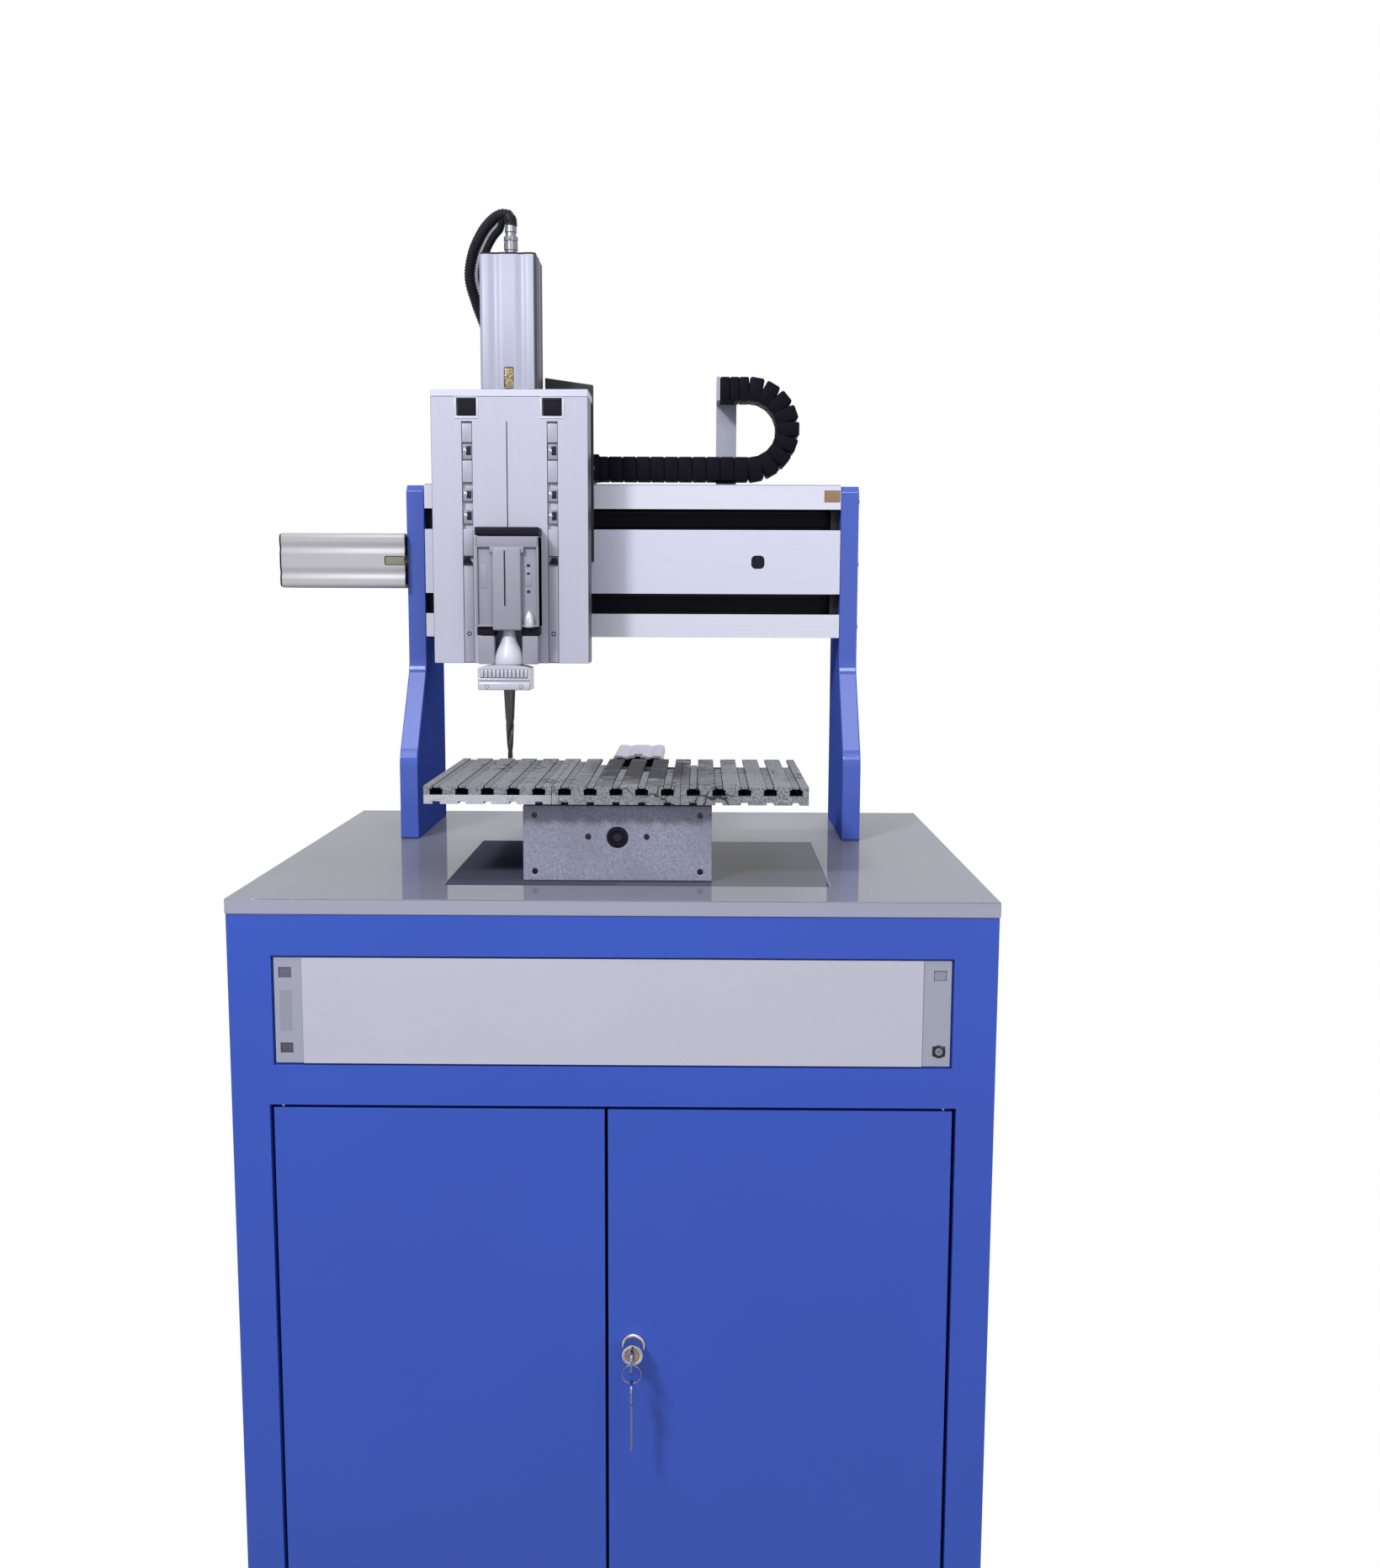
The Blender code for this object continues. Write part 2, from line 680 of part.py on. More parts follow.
def slider(name, frame, depth, start, length, screw_depth, screw_radius):
    """Plate over the channel, a runner astride each rail, and the ball nut's block between them."""
    made = block(
        name,
        (-SLIDER_WIDTH / 2, start, -SLIDER_GAP - SLIDER_THICKNESS),
        (SLIDER_WIDTH / 2, start + length, -SLIDER_GAP),
        anodised,
        frame,
    )
    floor = depth - CHANNEL_WALL - GAP
    rail_top = floor - RAIL_HEIGHT - RUNNER_CLEARANCE
    for side, edge in ((-1, "a"), (1, "b")):
        middle = side * RAIL_OFFSET
        leg = block(
            f"{name}_leg_{edge}",
            (middle - RUNNER_WIDTH / 2, start, -SLIDER_GAP - SLIDER_THICKNESS / 2),
            (middle + RUNNER_WIDTH / 2, start + length, floor - RUNNER_LIFT),
            frame=frame,
        )
        groove = block(
            f"{name}_groove_{edge}",
            (middle - RAIL_WIDTH / 2 - RUNNER_CLEARANCE, start - THROUGH, rail_top),
            (middle + RAIL_WIDTH / 2 + RUNNER_CLEARANCE, start + length + THROUGH, floor),
            frame=frame,
        )
        add(made, leg)
        cut(made, groove)
    centre = start + length / 2
    nut = block(
        f"{name}_nut",
        (-NUT_HALF, centre - NUT_LENGTH / 2, NUT_TOP),
        (NUT_HALF, centre + NUT_LENGTH / 2, 2 * screw_depth - NUT_TOP),
        frame=frame,
    )
    bore = rod(
        f"{name}_bore",
        (0, start - THROUGH, screw_depth),
        (0, start + length + THROUGH, screw_depth),
        screw_radius + SCREW_CLEARANCE,
        frame=frame,
    )
    add(made, nut)
    return cut(made, bore)


def drive(axis, frame, screw_start, screw_end, screw_depth, screw_radius, pocket=0.0):
    """Ball screw, coupling, motor and its cover. The cover starts a pocket past the screw's end."""
    screw = rod(
        f"{axis}_screw",
        (0, screw_start, screw_depth),
        (0, screw_end, screw_depth),
        screw_radius,
        ground_steel,
        frame,
    )
    seat = screw_end + GAP
    coupling = rod(
        f"{axis}_coupling",
        (0, seat, screw_depth),
        (0, seat + COUPLING_LENGTH, screw_depth),
        COUPLING_RADIUS,
        brass,
        frame,
    )
    base = screw_end + pocket
    half, inner = COVER_SIDE / 2, COVER_SIDE / 2 - COVER_WALL
    outline = []
    for x, y, turn in ((1, -1, -90), (1, 1, 0), (-1, 1, 90), (-1, -1, 180)):
        corner = (x * (half - COVER_CORNER), y * (half - COVER_CORNER))
        outline += arc(corner, COVER_CORNER, turn, turn + 90, 4)
    middle = frame @ Matrix.Translation((0, base + COVER_LENGTH / 2, screw_depth))
    end_on = middle @ Matrix.Rotation(math.radians(90), 4, "X")
    cover = plate(f"{axis}_motor_cover", outline, COVER_LENGTH, end_on, anodised)
    hollow = block(
        f"{axis}_cover_inside",
        (-inner, base - THROUGH, screw_depth - inner),
        (inner, base + COVER_LENGTH - COVER_WALL, screw_depth + inner),
        frame=frame,
    )
    return screw, coupling, cut(cover, hollow), base


def cover_slot(axis, frame, base, screw_depth, cover, outward):
    """Window at the cover's foot, through which the coupling is tightened."""
    near = screw_depth + outward * (COVER_SIDE / 2 - COVER_WALL - NIP)
    far = screw_depth + outward * (COVER_SIDE / 2 + THROUGH)
    slot = block(
        f"{axis}_cover_slot",
        (-COVER_SLOT[0] / 2, base - THROUGH, min(near, far)),
        (COVER_SLOT[0] / 2, base + COVER_SLOT[1], max(near, far)),
        frame=frame,
    )
    return cut(cover, slot)


def motor(axis, frame, base, screw_depth):
    start = base + MOTOR_FROM_END + COUPLING_LENGTH / 2
    body = block(
        f"{axis}_motor",
        (-MOTOR_SIDE / 2, start, screw_depth - MOTOR_SIDE / 2),
        (MOTOR_SIDE / 2, start + MOTOR_LENGTH, screw_depth + MOTOR_SIDE / 2),
        black_plastic,
        frame,
    )
    shaft = rod(
        f"{axis}_motor_shaft",
        (0, base + COUPLING_LENGTH + SHAFT_GAP, screw_depth),
        (0, start + THROUGH, screw_depth),
        MOTOR_SHAFT_RADIUS,
        frame=frame,
        sides=12,
    )
    return add(body, shaft)


# ---------------------------------------------------------------- Y axis and table
def y_axis():
    plate_front = FRONT + Y_FRONT_FROM_EDGE
    plate_back = plate_front + Y_FRONT_PLATE[1]
    start = plate_back + GAP
    frame = axis_frame((0, start, TOP + PROFILE_DEPTH), (-1, 0, 0), (0, 1, 0), (0, 0, -1))
    length = Y_PROFILE_LENGTH
    profile(
        "y_profile", frame, PROFILE_WIDTH, PROFILE_DEPTH - GAP, length, SCREW_DEPTH, SCREW_RADIUS, (1, 1)
    )
    rails(("y_rail_right", "y_rail_left"), frame, PROFILE_DEPTH - GAP, length)
    end_plate = block(
        "y_front_plate",
        (-Y_FRONT_PLATE[0] / 2, plate_front, TOP + GAP),
        (Y_FRONT_PLATE[0] / 2, plate_back, TOP + Y_FRONT_PLATE[2]),
        anodised,
    )
    screw_height = TOP + PROFILE_DEPTH - SCREW_DEPTH
    bearing_hole = rod(
        "bearing_hole",
        (0, plate_front - THROUGH, screw_height),
        (0, plate_back + THROUGH, screw_height),
        Y_PLUG_RADIUS,
    )
    cut(end_plate, bearing_hole)
    made = slider(
        "y_slider",
        frame,
        PROFILE_DEPTH - GAP,
        Y_SLIDER_START,
        Y_SLIDER_LENGTH,
        SCREW_DEPTH,
        SCREW_RADIUS,
    )
    screw, coupling, cover, base = drive(
        "y", frame, -Y_FRONT_PLATE[1] / 2, length, SCREW_DEPTH, SCREW_RADIUS, GAP
    )
    cover_slot("y", frame, base, SCREW_DEPTH, cover, -1)
    motor("y", frame, base, SCREW_DEPTH)
    carry("y_screw_axis", (0, start, screw_height), screw, coupling)
    carry("y_slide_axis", (0, start, TOP + PROFILE_DEPTH), made, *table())


def plank_outline():
    """Section of one T-slot plank: slots in the top, shallow feet grooves underneath."""
    width = TABLE_WIDTH / TABLE_PLANKS - GAP
    pitch = TABLE_WIDTH / TABLE_PLANKS / SLOTS_PER_PLANK
    centres = [(i - (SLOTS_PER_PLANK - 1) / 2) * pitch for i in range(SLOTS_PER_PLANK)]
    under = [(-width / 2, 0)]
    for x in centres:
        half, rise = FOOT_SLOT[0] / 2, FOOT_SLOT[1]
        under += [(x - half, 0), (x - half, rise), (x + half, rise), (x + half, 0)]
    under.append((width / 2, 0))
    over = [(width / 2, TABLE_THICKNESS)]
    lip, floor = TABLE_THICKNESS - SLOT_LIP, TABLE_THICKNESS - SLOT_DEPTH
    for x in reversed(centres):
        mouth, belly = SLOT_MOUTH / 2, SLOT_BELLY / 2
        over += [(x + mouth, TABLE_THICKNESS), (x + mouth, lip), (x + belly, lip), (x + belly, floor)]
        over += [(x - belly, floor), (x - belly, lip), (x - mouth, lip), (x - mouth, TABLE_THICKNESS)]
    over.append((-width / 2, TABLE_THICKNESS))
    return under + over


def table():
    """T-slot planks side by side on the Y slider."""
    front = FRONT + TABLE_FRONT_FROM_EDGE
    outline = plank_outline()
    planks = []
    for i in range(TABLE_PLANKS):
        x = (i - (TABLE_PLANKS - 1) / 2) * TABLE_WIDTH / TABLE_PLANKS
        place = (x, front + TABLE_LENGTH / 2, table_low)
        frame = axis_frame(place, (1, 0, 0), (0, 0, 1), (0, -1, 0))
        planks.append(plate(f"table_plank_{i + 1}", outline, TABLE_LENGTH, frame, cast_grey))
    return planks


# ---------------------------------------------------------------- gantry and X axis
def gantry_outline():
    """Side view of a gantry plate: a deep foot, a sloping knee and an upright that holds the beam."""
    foot = FRONT + PLATE_FOOT_FROM_EDGE
    face = FRONT + PLATE_FACE_FROM_EDGE
    back = FRONT + PLATE_BACK_FROM_EDGE
    low, high = TOP + GAP, TOP + PLATE_HEIGHT
    knee_low, knee_high = (foot, TOP + PLATE_KNEE_LOW), (face, TOP + PLATE_KNEE_HIGH)
    outline = [(foot, low), (back, low), (back, high), (face + PLATE_CHAMFER, high)]
    outline.append((face, high - PLATE_CHAMFER))
    outline += rounded_corner(outline[-1], knee_high, knee_low, PLATE_KNEE_RADIUS)
    outline += rounded_corner(knee_high, knee_low, outline[0], PLATE_KNEE_RADIUS)
    return outline


def gantry():
    """Two thick side plates; the left one lets the screw's coupling through."""
    outline = gantry_outline()
    middle = PLATE_INNER + PLATE_THICKNESS / 2
    for side, name in ((-1, "gantry_left"), (1, "gantry_right")):
        frame = axis_frame((side * middle, 0, 0), (0, 1, 0), (0, 0, 1), (1, 0, 0))
        made = plate(name, outline, PLATE_THICKNESS, frame, blue_paint)
        if side < 0:
            hole = rod(
                "coupling_hole",
                (-PLATE_INNER + THROUGH, beam_face + SCREW_DEPTH, beam_middle),
                (-PLATE_INNER - PLATE_THICKNESS - THROUGH, beam_face + SCREW_DEPTH, beam_middle),
                SCREW_RADIUS + BUSH_CLEARANCE,
            )
            cut(made, hole)


def x_axis():
    """Beam between the plates with its rails, cover, slider, screw and motor."""
    half = PLATE_INNER - GAP
    length = 2 * half
    frame = axis_frame((half, beam_face, beam_middle), (0, 0, -1), (-1, 0, 0), (0, 1, 0))
    profile("x_beam", frame, PROFILE_WIDTH, PROFILE_DEPTH, length, SCREW_DEPTH, SCREW_RADIUS, (1, 1))
    rails(("x_rail_upper", "x_rail_lower"), frame, PROFILE_DEPTH, length)
    cover = block(
        "x_cover",
        (-X_COVER_WIDTH / 2, 0, 0),
        (X_COVER_WIDTH / 2, length, X_COVER_THICKNESS),
        white_plate,
        frame,
    )
    for end, at in (("left", length - END_WEB), ("right", 0)):
        foot = block(
            f"x_cover_foot_{end}",
            (-X_COVER_WIDTH / 2, at, X_COVER_THICKNESS / 2),
            (X_COVER_WIDTH / 2, at + END_WEB, SCREW_DEPTH - SCREW_RADIUS - BUSH_CLEARANCE),
            frame=frame,
        )
        add(cover, foot)
    start = half - HEAD_X - X_SLIDER_LENGTH / 2
    made = slider(
        "x_slider", frame, PROFILE_DEPTH, start, X_SLIDER_LENGTH, SCREW_DEPTH, SCREW_RADIUS
    )
    add(made, *chain_arm())
    outside = length + GAP + PLATE_THICKNESS
    screw, coupling, motor_cover, base = drive(
        "x", frame, END_WEB - SCREW_END_GAP, outside, SCREW_DEPTH, SCREW_RADIUS, GAP
    )
    cover_slot("x", frame, base, SCREW_DEPTH, motor_cover, -1)
    motor("x", frame, base, SCREW_DEPTH)
    carry("x_screw_axis", (0, beam_face + SCREW_DEPTH, beam_middle), screw, coupling)
    return made


# ---------------------------------------------------------------- Z axis and tool head
def z_profile(frame):
    """Profile turned round: its channel faces the beam and its T-slots and windows face the front."""
    body = profile("z_profile", frame, Z_WIDTH, Z_DEPTH, Z_LENGTH, Z_SCREW_DEPTH, Z_SCREW_RADIUS, (1, 0))
    for side, edge in ((-1, "left"), (1, "right")):
        x = side * Z_SLOT_OFFSET
        slot = block(
            f"z_slot_{edge}",
            (x - Z_SLOT[0] / 2, -THROUGH, Z_DEPTH - Z_SLOT[1]),
            (x + Z_SLOT[0] / 2, Z_SLOT_LENGTH, Z_DEPTH + THROUGH),
            frame=frame,
        )
        top = Z_LENGTH - Z_WINDOW_FROM_TOP
        window = block(
            f"z_window_{edge}",
            (x - Z_WINDOW[0] / 2, top - Z_WINDOW[1], Z_DEPTH - Z_WINDOW[2]),
            (x + Z_WINDOW[0] / 2, top, Z_DEPTH + THROUGH),
            frame=frame,
        )
        cut(body, slot, window)
    return body


def z_axis():
    """The head that rises and falls, and the slider on the X carriage that it runs on."""
    frame = axis_frame((HEAD_X, z_open_face, TOP + Z_BOTTOM), (1, 0, 0), (0, 0, 1), (0, -1, 0))
    body = z_profile(frame)
    guides = rails(("z_rail_left", "z_rail_right"), frame, Z_DEPTH, Z_LENGTH)
    carriage = slider(
        "z_slider",
        frame,
        Z_DEPTH,
        Z_SLIDER_BOTTOM - Z_BOTTOM,
        Z_SLIDER_LENGTH,
        Z_SCREW_DEPTH,
        Z_SCREW_RADIUS,
    )
    back = COVER_SIDE / 2 - Z_SCREW_DEPTH
    lid = block(
        "z_top_plate",
        (-Z_WIDTH / 2, Z_LENGTH + GAP, -back),
        (Z_WIDTH / 2, Z_LENGTH + GAP + Z_TOP_PLATE, Z_DEPTH),
        anodised,
        frame,
    )
    screw_hole = rod(
        "lid_hole",
        (0, Z_LENGTH - THROUGH, Z_SCREW_DEPTH),
        (0, Z_LENGTH + Z_TOP_PLATE + THROUGH, Z_SCREW_DEPTH),
        Z_SCREW_RADIUS + SCREW_CLEARANCE,
        frame=frame,
    )
    cut(lid, screw_hole)
    above = Z_LENGTH + GAP + Z_TOP_PLATE
    screw, coupling, cover, base = drive(
        "z", frame, SCREW_END_GAP, above, Z_SCREW_DEPTH, Z_SCREW_RADIUS, GAP
    )
    cover_slot("z", frame, base, Z_SCREW_DEPTH, cover, 1)
    driver = motor("z", frame, base, Z_SCREW_DEPTH)
    top = base + COVER_LENGTH + GAP
    connector = rod(
        "z_connector",
        (0, top, Z_SCREW_DEPTH),
        (0, top + CONNECTOR_LENGTH, Z_SCREW_DEPTH),
        CONNECTOR_RADIUS,
        chrome,
        frame,
    )
    place = frame @ Vector((0, top + CONNECTOR_LENGTH + LEAD_GAP, Z_SCREW_DEPTH))
    cable = motor_lead(place)
    axis = (HEAD_X, z_open_face - Z_SCREW_DEPTH, TOP + Z_BOTTOM)
    turning = carry("z_screw_axis", axis, screw, coupling)
    head = tool_head()
    carry("z_slide_axis", axis, body, lid, cover, driver, connector, cable, turning, *guides, *head)
    return carriage


def tool_head():
    """Spindle under its cover on the Z profile, with the clamp, the shaft and the cutter below."""
    low, high = TOP + HEAD_COVER_BOTTOM, TOP + HEAD_COVER_BOTTOM + HEAD_COVER[2]
    front = z_front - GAP - HEAD_COVER[1]
    half = HEAD_COVER[0] / 2
    cover = block(
        "spindle_cover", (HEAD_X - half, front, low), (HEAD_X + half, z_front - GAP, high), anodised
    )
    spine = block(
        "cover_spine",
        (HEAD_X - HEAD_SPINE[0] / 2, front - HEAD_SPINE[1], low),
        (HEAD_X + HEAD_SPINE[0] / 2, front + HEAD_COVER_WALL, high),
    )
    wall = HEAD_COVER_WALL
    hollow = block(
        "cover_inside",
        (HEAD_X - half + wall, front + wall, low - THROUGH),
        (HEAD_X + half - wall, z_front + THROUGH, high - wall),
    )
    spindle_seat = rod(
        "spindle_seat",
        (HEAD_X, tool_y, low - THROUGH),
        (HEAD_X, tool_y, TOP + SPINDLE_TOP + GAP),
        SPINDLE_RADIUS + GAP,
    )
    add(cover, spine)
    cut(cover, hollow, spindle_seat)
    clamp_top = TOP + Z_BOTTOM - GAP
    spindle = rod(
        "spindle_body",
        (HEAD_X, tool_y, clamp_top + GAP),
        (HEAD_X, tool_y, TOP + SPINDLE_TOP),
        SPINDLE_RADIUS,
        anodised,
    )
    clamp = block(
        "tool_clamp",
        (HEAD_X - CLAMP_TO_LEFT - CLAMP[0] / 2, tool_y - CLAMP[1] / 2, clamp_top - CLAMP[2]),
        (HEAD_X - CLAMP_TO_LEFT + CLAMP[0] / 2, tool_y + CLAMP[1] / 2, clamp_top),
        anodised,
    )
    shaft_way = rod(
        "shaft_way",
        (HEAD_X, tool_y, clamp_top - CLAMP[2] - THROUGH),
        (HEAD_X, tool_y, TOP + SHAFT_TOP + GAP),
        SHAFT_RADIUS + SCREW_CLEARANCE,
        sides=16,
    )
    cut(spindle, shaft_way)
    cut(clamp, shaft_way)
    shaft = rod(
        "spindle_shaft",
        (HEAD_X, tool_y, clamp_top - CLAMP[2]),
        (HEAD_X, tool_y, TOP + SHAFT_TOP),
        SHAFT_RADIUS,
        ground_steel,
        sides=16,
    )
    cutter = rod(
        "cutter",
        (HEAD_X, tool_y, clamp_top - CLAMP[2] - GAP),
        (HEAD_X, tool_y, table_high + TIP_ABOVE_TABLE),
        TOOL_TOP_RADIUS,
        dark_steel,
        end_radius=TOOL_TIP_RADIUS,
    )
    turning = carry("spindle_axis", (HEAD_X, tool_y, table_high), shaft, cutter)
    return cover, spindle, clamp, turning


# ---------------------------------------------------------------- energy chain and motor lead
def chain_arm():
    """Upright on the X slider that carries the lead, and the shelf from it under the chain's end."""
    low = chain_low - GAP - ARM_THICKNESS
    left, right = CHAIN_START_X - ARM_LEFT, CHAIN_START_X + ARM_RIGHT
    slider_back = beam_face - SLIDER_GAP
    outline = [(left, beam_middle), (right, beam_middle)]
    outline += [(right, TOP + ARM_RIGHT_HEIGHT), (left, TOP + ARM_LEFT_HEIGHT)]
    upright_frame = axis_frame((0, slider_back - ARM_THICKNESS, 0), (1, 0, 0), (0, 0, 1), (0, -1, 0))
    upright = plate("arm_upright", outline, 2 * ARM_THICKNESS, upright_frame)
    reach = block(
        "arm_reach",
        (left, slider_back - ARM_THICKNESS, low),
        (right, chain_front + CHAIN_WIDTH, low + ARM_THICKNESS),
    )
    return upright, reach


def chain():
    """Energy chain: the lower run moves with the carriage, the upper end is held by the bracket."""
    back = chain_front + CHAIN_WIDTH
    middle_z = chain_low + CHAIN_HEIGHT + CHAIN_RADIUS
    upper_low = middle_z + CHAIN_RADIUS
    block(
        "chain_lower",
        (CHAIN_START_X, chain_front, chain_low),
        (CHAIN_BEND_X - GAP, back, chain_low + CHAIN_HEIGHT),
        black_plastic,
    )
    block(
        "chain_upper",
        (CHAIN_END_X, chain_front, upper_low),
        (CHAIN_BEND_X - GAP, back, upper_low + CHAIN_HEIGHT),
        black_plastic,
    )
    outside = arc((CHAIN_BEND_X, middle_z), CHAIN_RADIUS + CHAIN_HEIGHT, -90, 90, 20)
    inside = arc((CHAIN_BEND_X, middle_z), CHAIN_RADIUS, 90, -90, 20)
    frame = axis_frame((0, chain_front + CHAIN_WIDTH / 2, 0), (1, 0, 0), (0, 0, 1), (0, -1, 0))
    plate("chain_bend", outside + inside, CHAIN_WIDTH, frame, black_plastic)
    block(
        "chain_tray",
        (-PLATE_INNER + GAP, chain_front - TRAY_MARGIN, beam_top + GAP),
        (PLATE_INNER - GAP, back + TRAY_MARGIN, beam_top + GAP + TRAY_THICKNESS),
        grey_panel,
    )
    bracket_y = back + TRAY_MARGIN + GAP
    bracket = block(
        "chain_bracket",
        (CHAIN_END_X - GAP - BRACKET_THICKNESS, bracket_y, beam_top + GAP),
        (CHAIN_END_X + BRACKET_WIDTH, bracket_y + ARM_THICKNESS, upper_low + CHAIN_HEIGHT),
        grey_panel,
    )
    end = block(
        "bracket_end",
        (CHAIN_END_X - GAP - BRACKET_THICKNESS, chain_front, upper_low),
        (CHAIN_END_X - GAP, bracket_y + ARM_THICKNESS / 2, upper_low + CHAIN_HEIGHT),
    )
    add(bracket, end)


def smooth_route(points, each):
    """Points on a Catmull-Rom curve through the given ones."""
    points = [Vector(p) for p in points]
    ends = [2 * points[0] - points[1]] + points + [2 * points[-1] - points[-2]]
    route = []
    for a, b, c, d in zip(ends, ends[1:], ends[2:], ends[3:]):
        for i in range(each):
            t = i / each
            bend, twist = 2 * a - 5 * b + 4 * c - d, 3 * b - a - 3 * c + d
            route.append(b + ((c - a) * t + bend * t**2 + twist * t**3) / 2)
    return route + [points[-1]]


def motor_lead(start):
    """Lead from the connector: up, over to the left, and down behind the head to the chain's end."""
    end = Vector((CHAIN_START_X - LEAD_GAP, chain_front + CHAIN_WIDTH / 2, chain_low + CHAIN_HEIGHT / 2))
    route = [
        start,
        start + Vector((0, 0, 0.003)),
        start + Vector((-0.003, 0.0008, 0.0102)),
        start + Vector((-0.0105, 0.0035, 0.0125)),
        start + Vector((-0.0215, 0.0085, 0.008)),
        start + Vector((-0.0345, 0.0165, -0.004)),
        start + Vector((-0.047, 0.027, -0.025)),
        start + Vector((-0.052, 0.035, -0.050)),
        start + Vector((-0.046, 0.042, -0.076)),
        start + Vector((-0.036, 0.0445, -0.104)),
        start + Vector((-0.026, 0.044, -0.136)),
        start + Vector((-0.016, 0.044, -0.171)),
        start + Vector((-0.008, 0.045, -0.205)),
        start + Vector((0.002, 0.050, -0.234)),
        start + Vector((0.018, 0.063, -0.256)),
        end + Vector((-0.022, -0.002, 0.001)),
        end,
    ]
    points = smooth_route(route, 5)
    curve = bpy.data.curves.new("z_lead", "CURVE")
    curve.dimensions = "3D"
    curve.bevel_depth = LEAD_RADIUS
    curve.bevel_resolution = 2
    curve.use_fill_caps = True
    line = curve.splines.new("POLY")
    line.points.add(len(points) - 1)
    for point, place in zip(line.points, points):
        point.co = (*place, 1)
    curve.materials.append(black_plastic)
    made = bpy.data.objects.new("z_lead", curve)
    parts.objects.link(made)
    return made


# ---------------------------------------------------------------- the whole machine
cabinet()
y_axis()
gantry()
x_slider = x_axis()
z_slider = z_axis()
carry("x_slide_axis", (HEAD_X, beam_face, beam_middle), x_slider, z_slider)
chain()
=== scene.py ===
# %% [markdown]
# # A bench-top CNC router on its cabinet
# The machine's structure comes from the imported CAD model: a steel cabinet, a gantry that carries the X
# and Z axes, and a T-slot table on the Y axis. This script adds what the eye looks for on the real one:
# fluted motor covers, chain links, screws, keys, and the finish of every surface.
# It works in metres with Z up, and every place is read from the model, so nothing has to be fitted.

# %% Open the machine
import json

import bmesh
import bpy
import numpy as np
from mathutils import Matrix, Vector


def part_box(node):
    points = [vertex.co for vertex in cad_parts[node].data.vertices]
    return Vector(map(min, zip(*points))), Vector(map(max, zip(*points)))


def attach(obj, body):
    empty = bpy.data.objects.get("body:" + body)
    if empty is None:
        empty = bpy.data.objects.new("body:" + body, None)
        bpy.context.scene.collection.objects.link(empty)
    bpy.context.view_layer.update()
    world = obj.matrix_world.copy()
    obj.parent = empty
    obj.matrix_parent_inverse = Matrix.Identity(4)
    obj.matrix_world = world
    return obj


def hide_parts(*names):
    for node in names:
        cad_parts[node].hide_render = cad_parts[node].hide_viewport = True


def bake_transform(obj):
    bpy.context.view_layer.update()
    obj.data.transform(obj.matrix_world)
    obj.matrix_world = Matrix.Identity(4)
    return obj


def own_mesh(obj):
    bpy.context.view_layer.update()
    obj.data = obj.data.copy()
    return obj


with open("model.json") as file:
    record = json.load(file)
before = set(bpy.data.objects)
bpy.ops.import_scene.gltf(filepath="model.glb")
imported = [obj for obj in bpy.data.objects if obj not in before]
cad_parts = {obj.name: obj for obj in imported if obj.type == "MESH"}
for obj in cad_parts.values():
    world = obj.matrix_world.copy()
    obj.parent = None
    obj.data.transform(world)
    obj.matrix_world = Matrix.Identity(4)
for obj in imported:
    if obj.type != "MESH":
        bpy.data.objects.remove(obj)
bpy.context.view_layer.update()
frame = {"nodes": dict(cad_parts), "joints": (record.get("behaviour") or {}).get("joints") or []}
RIGHT, BACK, UP = np.eye(3)
FORWARD = -BACK


def corners(node):
    """Lowest and highest corner of one CAD node."""
    low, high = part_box(node)
    return np.array(low), np.array(high)


# %% [markdown]
# ## Camera
# The machine is seen from standing height, a little right of its middle and looking slightly down. The
# lens is close to a phone's, so the cabinet narrows towards the floor. Tilt, turn and roll are angles
# in degrees, and the camera's axes are worked out from them.

# %% Camera
CAMERA_PLACE = (0.083, -1.667, 1.021)
CAMERA_TILT, CAMERA_TURN, CAMERA_ROLL = np.radians([7.1, 0.44, 0.22])
CAMERA_LENS = 34.5


def camera_axes():
    """The camera's right, up and back: turned about the vertical, tilted down, then rolled."""
    level = np.array([-np.sin(CAMERA_TURN), np.cos(CAMERA_TURN), 0])
    side = np.array([np.cos(CAMERA_TURN), np.sin(CAMERA_TURN), 0])
    ahead = level * np.cos(CAMERA_TILT) - UP * np.sin(CAMERA_TILT)
    right = side * np.cos(CAMERA_ROLL) + np.cross(side, ahead) * np.sin(CAMERA_ROLL)
    return right, np.cross(right, ahead), -ahead


scene = bpy.context.scene
camera_data = bpy.data.cameras.new("camera")
camera_data.lens = CAMERA_LENS
camera = bpy.data.objects.new("camera", camera_data)
turned_camera = Matrix(np.column_stack(camera_axes()).tolist()).to_4x4()
camera.matrix_world = Matrix.Translation(CAMERA_PLACE) @ turned_camera
scene.collection.objects.link(camera)
scene.camera = camera
print("camera at", CAMERA_PLACE, "with a lens of", CAMERA_LENS, "mm")

# %% [markdown]
# ## The room
# The room is white to the camera and to reflections, and dimmer as a lamp, so that pale metal keeps its
# tone. Light Path tells which kind of ray looks at it, and a Mix Shader chooses between two Backgrounds.

# %% Room
ROOM_LIGHT = 0.34

scene.view_settings.view_transform = "Standard"
scene.world = bpy.data.worlds.new("room")
scene.world.use_nodes = True
room = scene.world.node_tree


def background(node, colour, strength):
    """One Background node, set up, and the shader that it gives."""
    node.inputs["Color"].default_value = colour
    node.inputs["Strength"].default_value = strength
    return node.outputs[0]


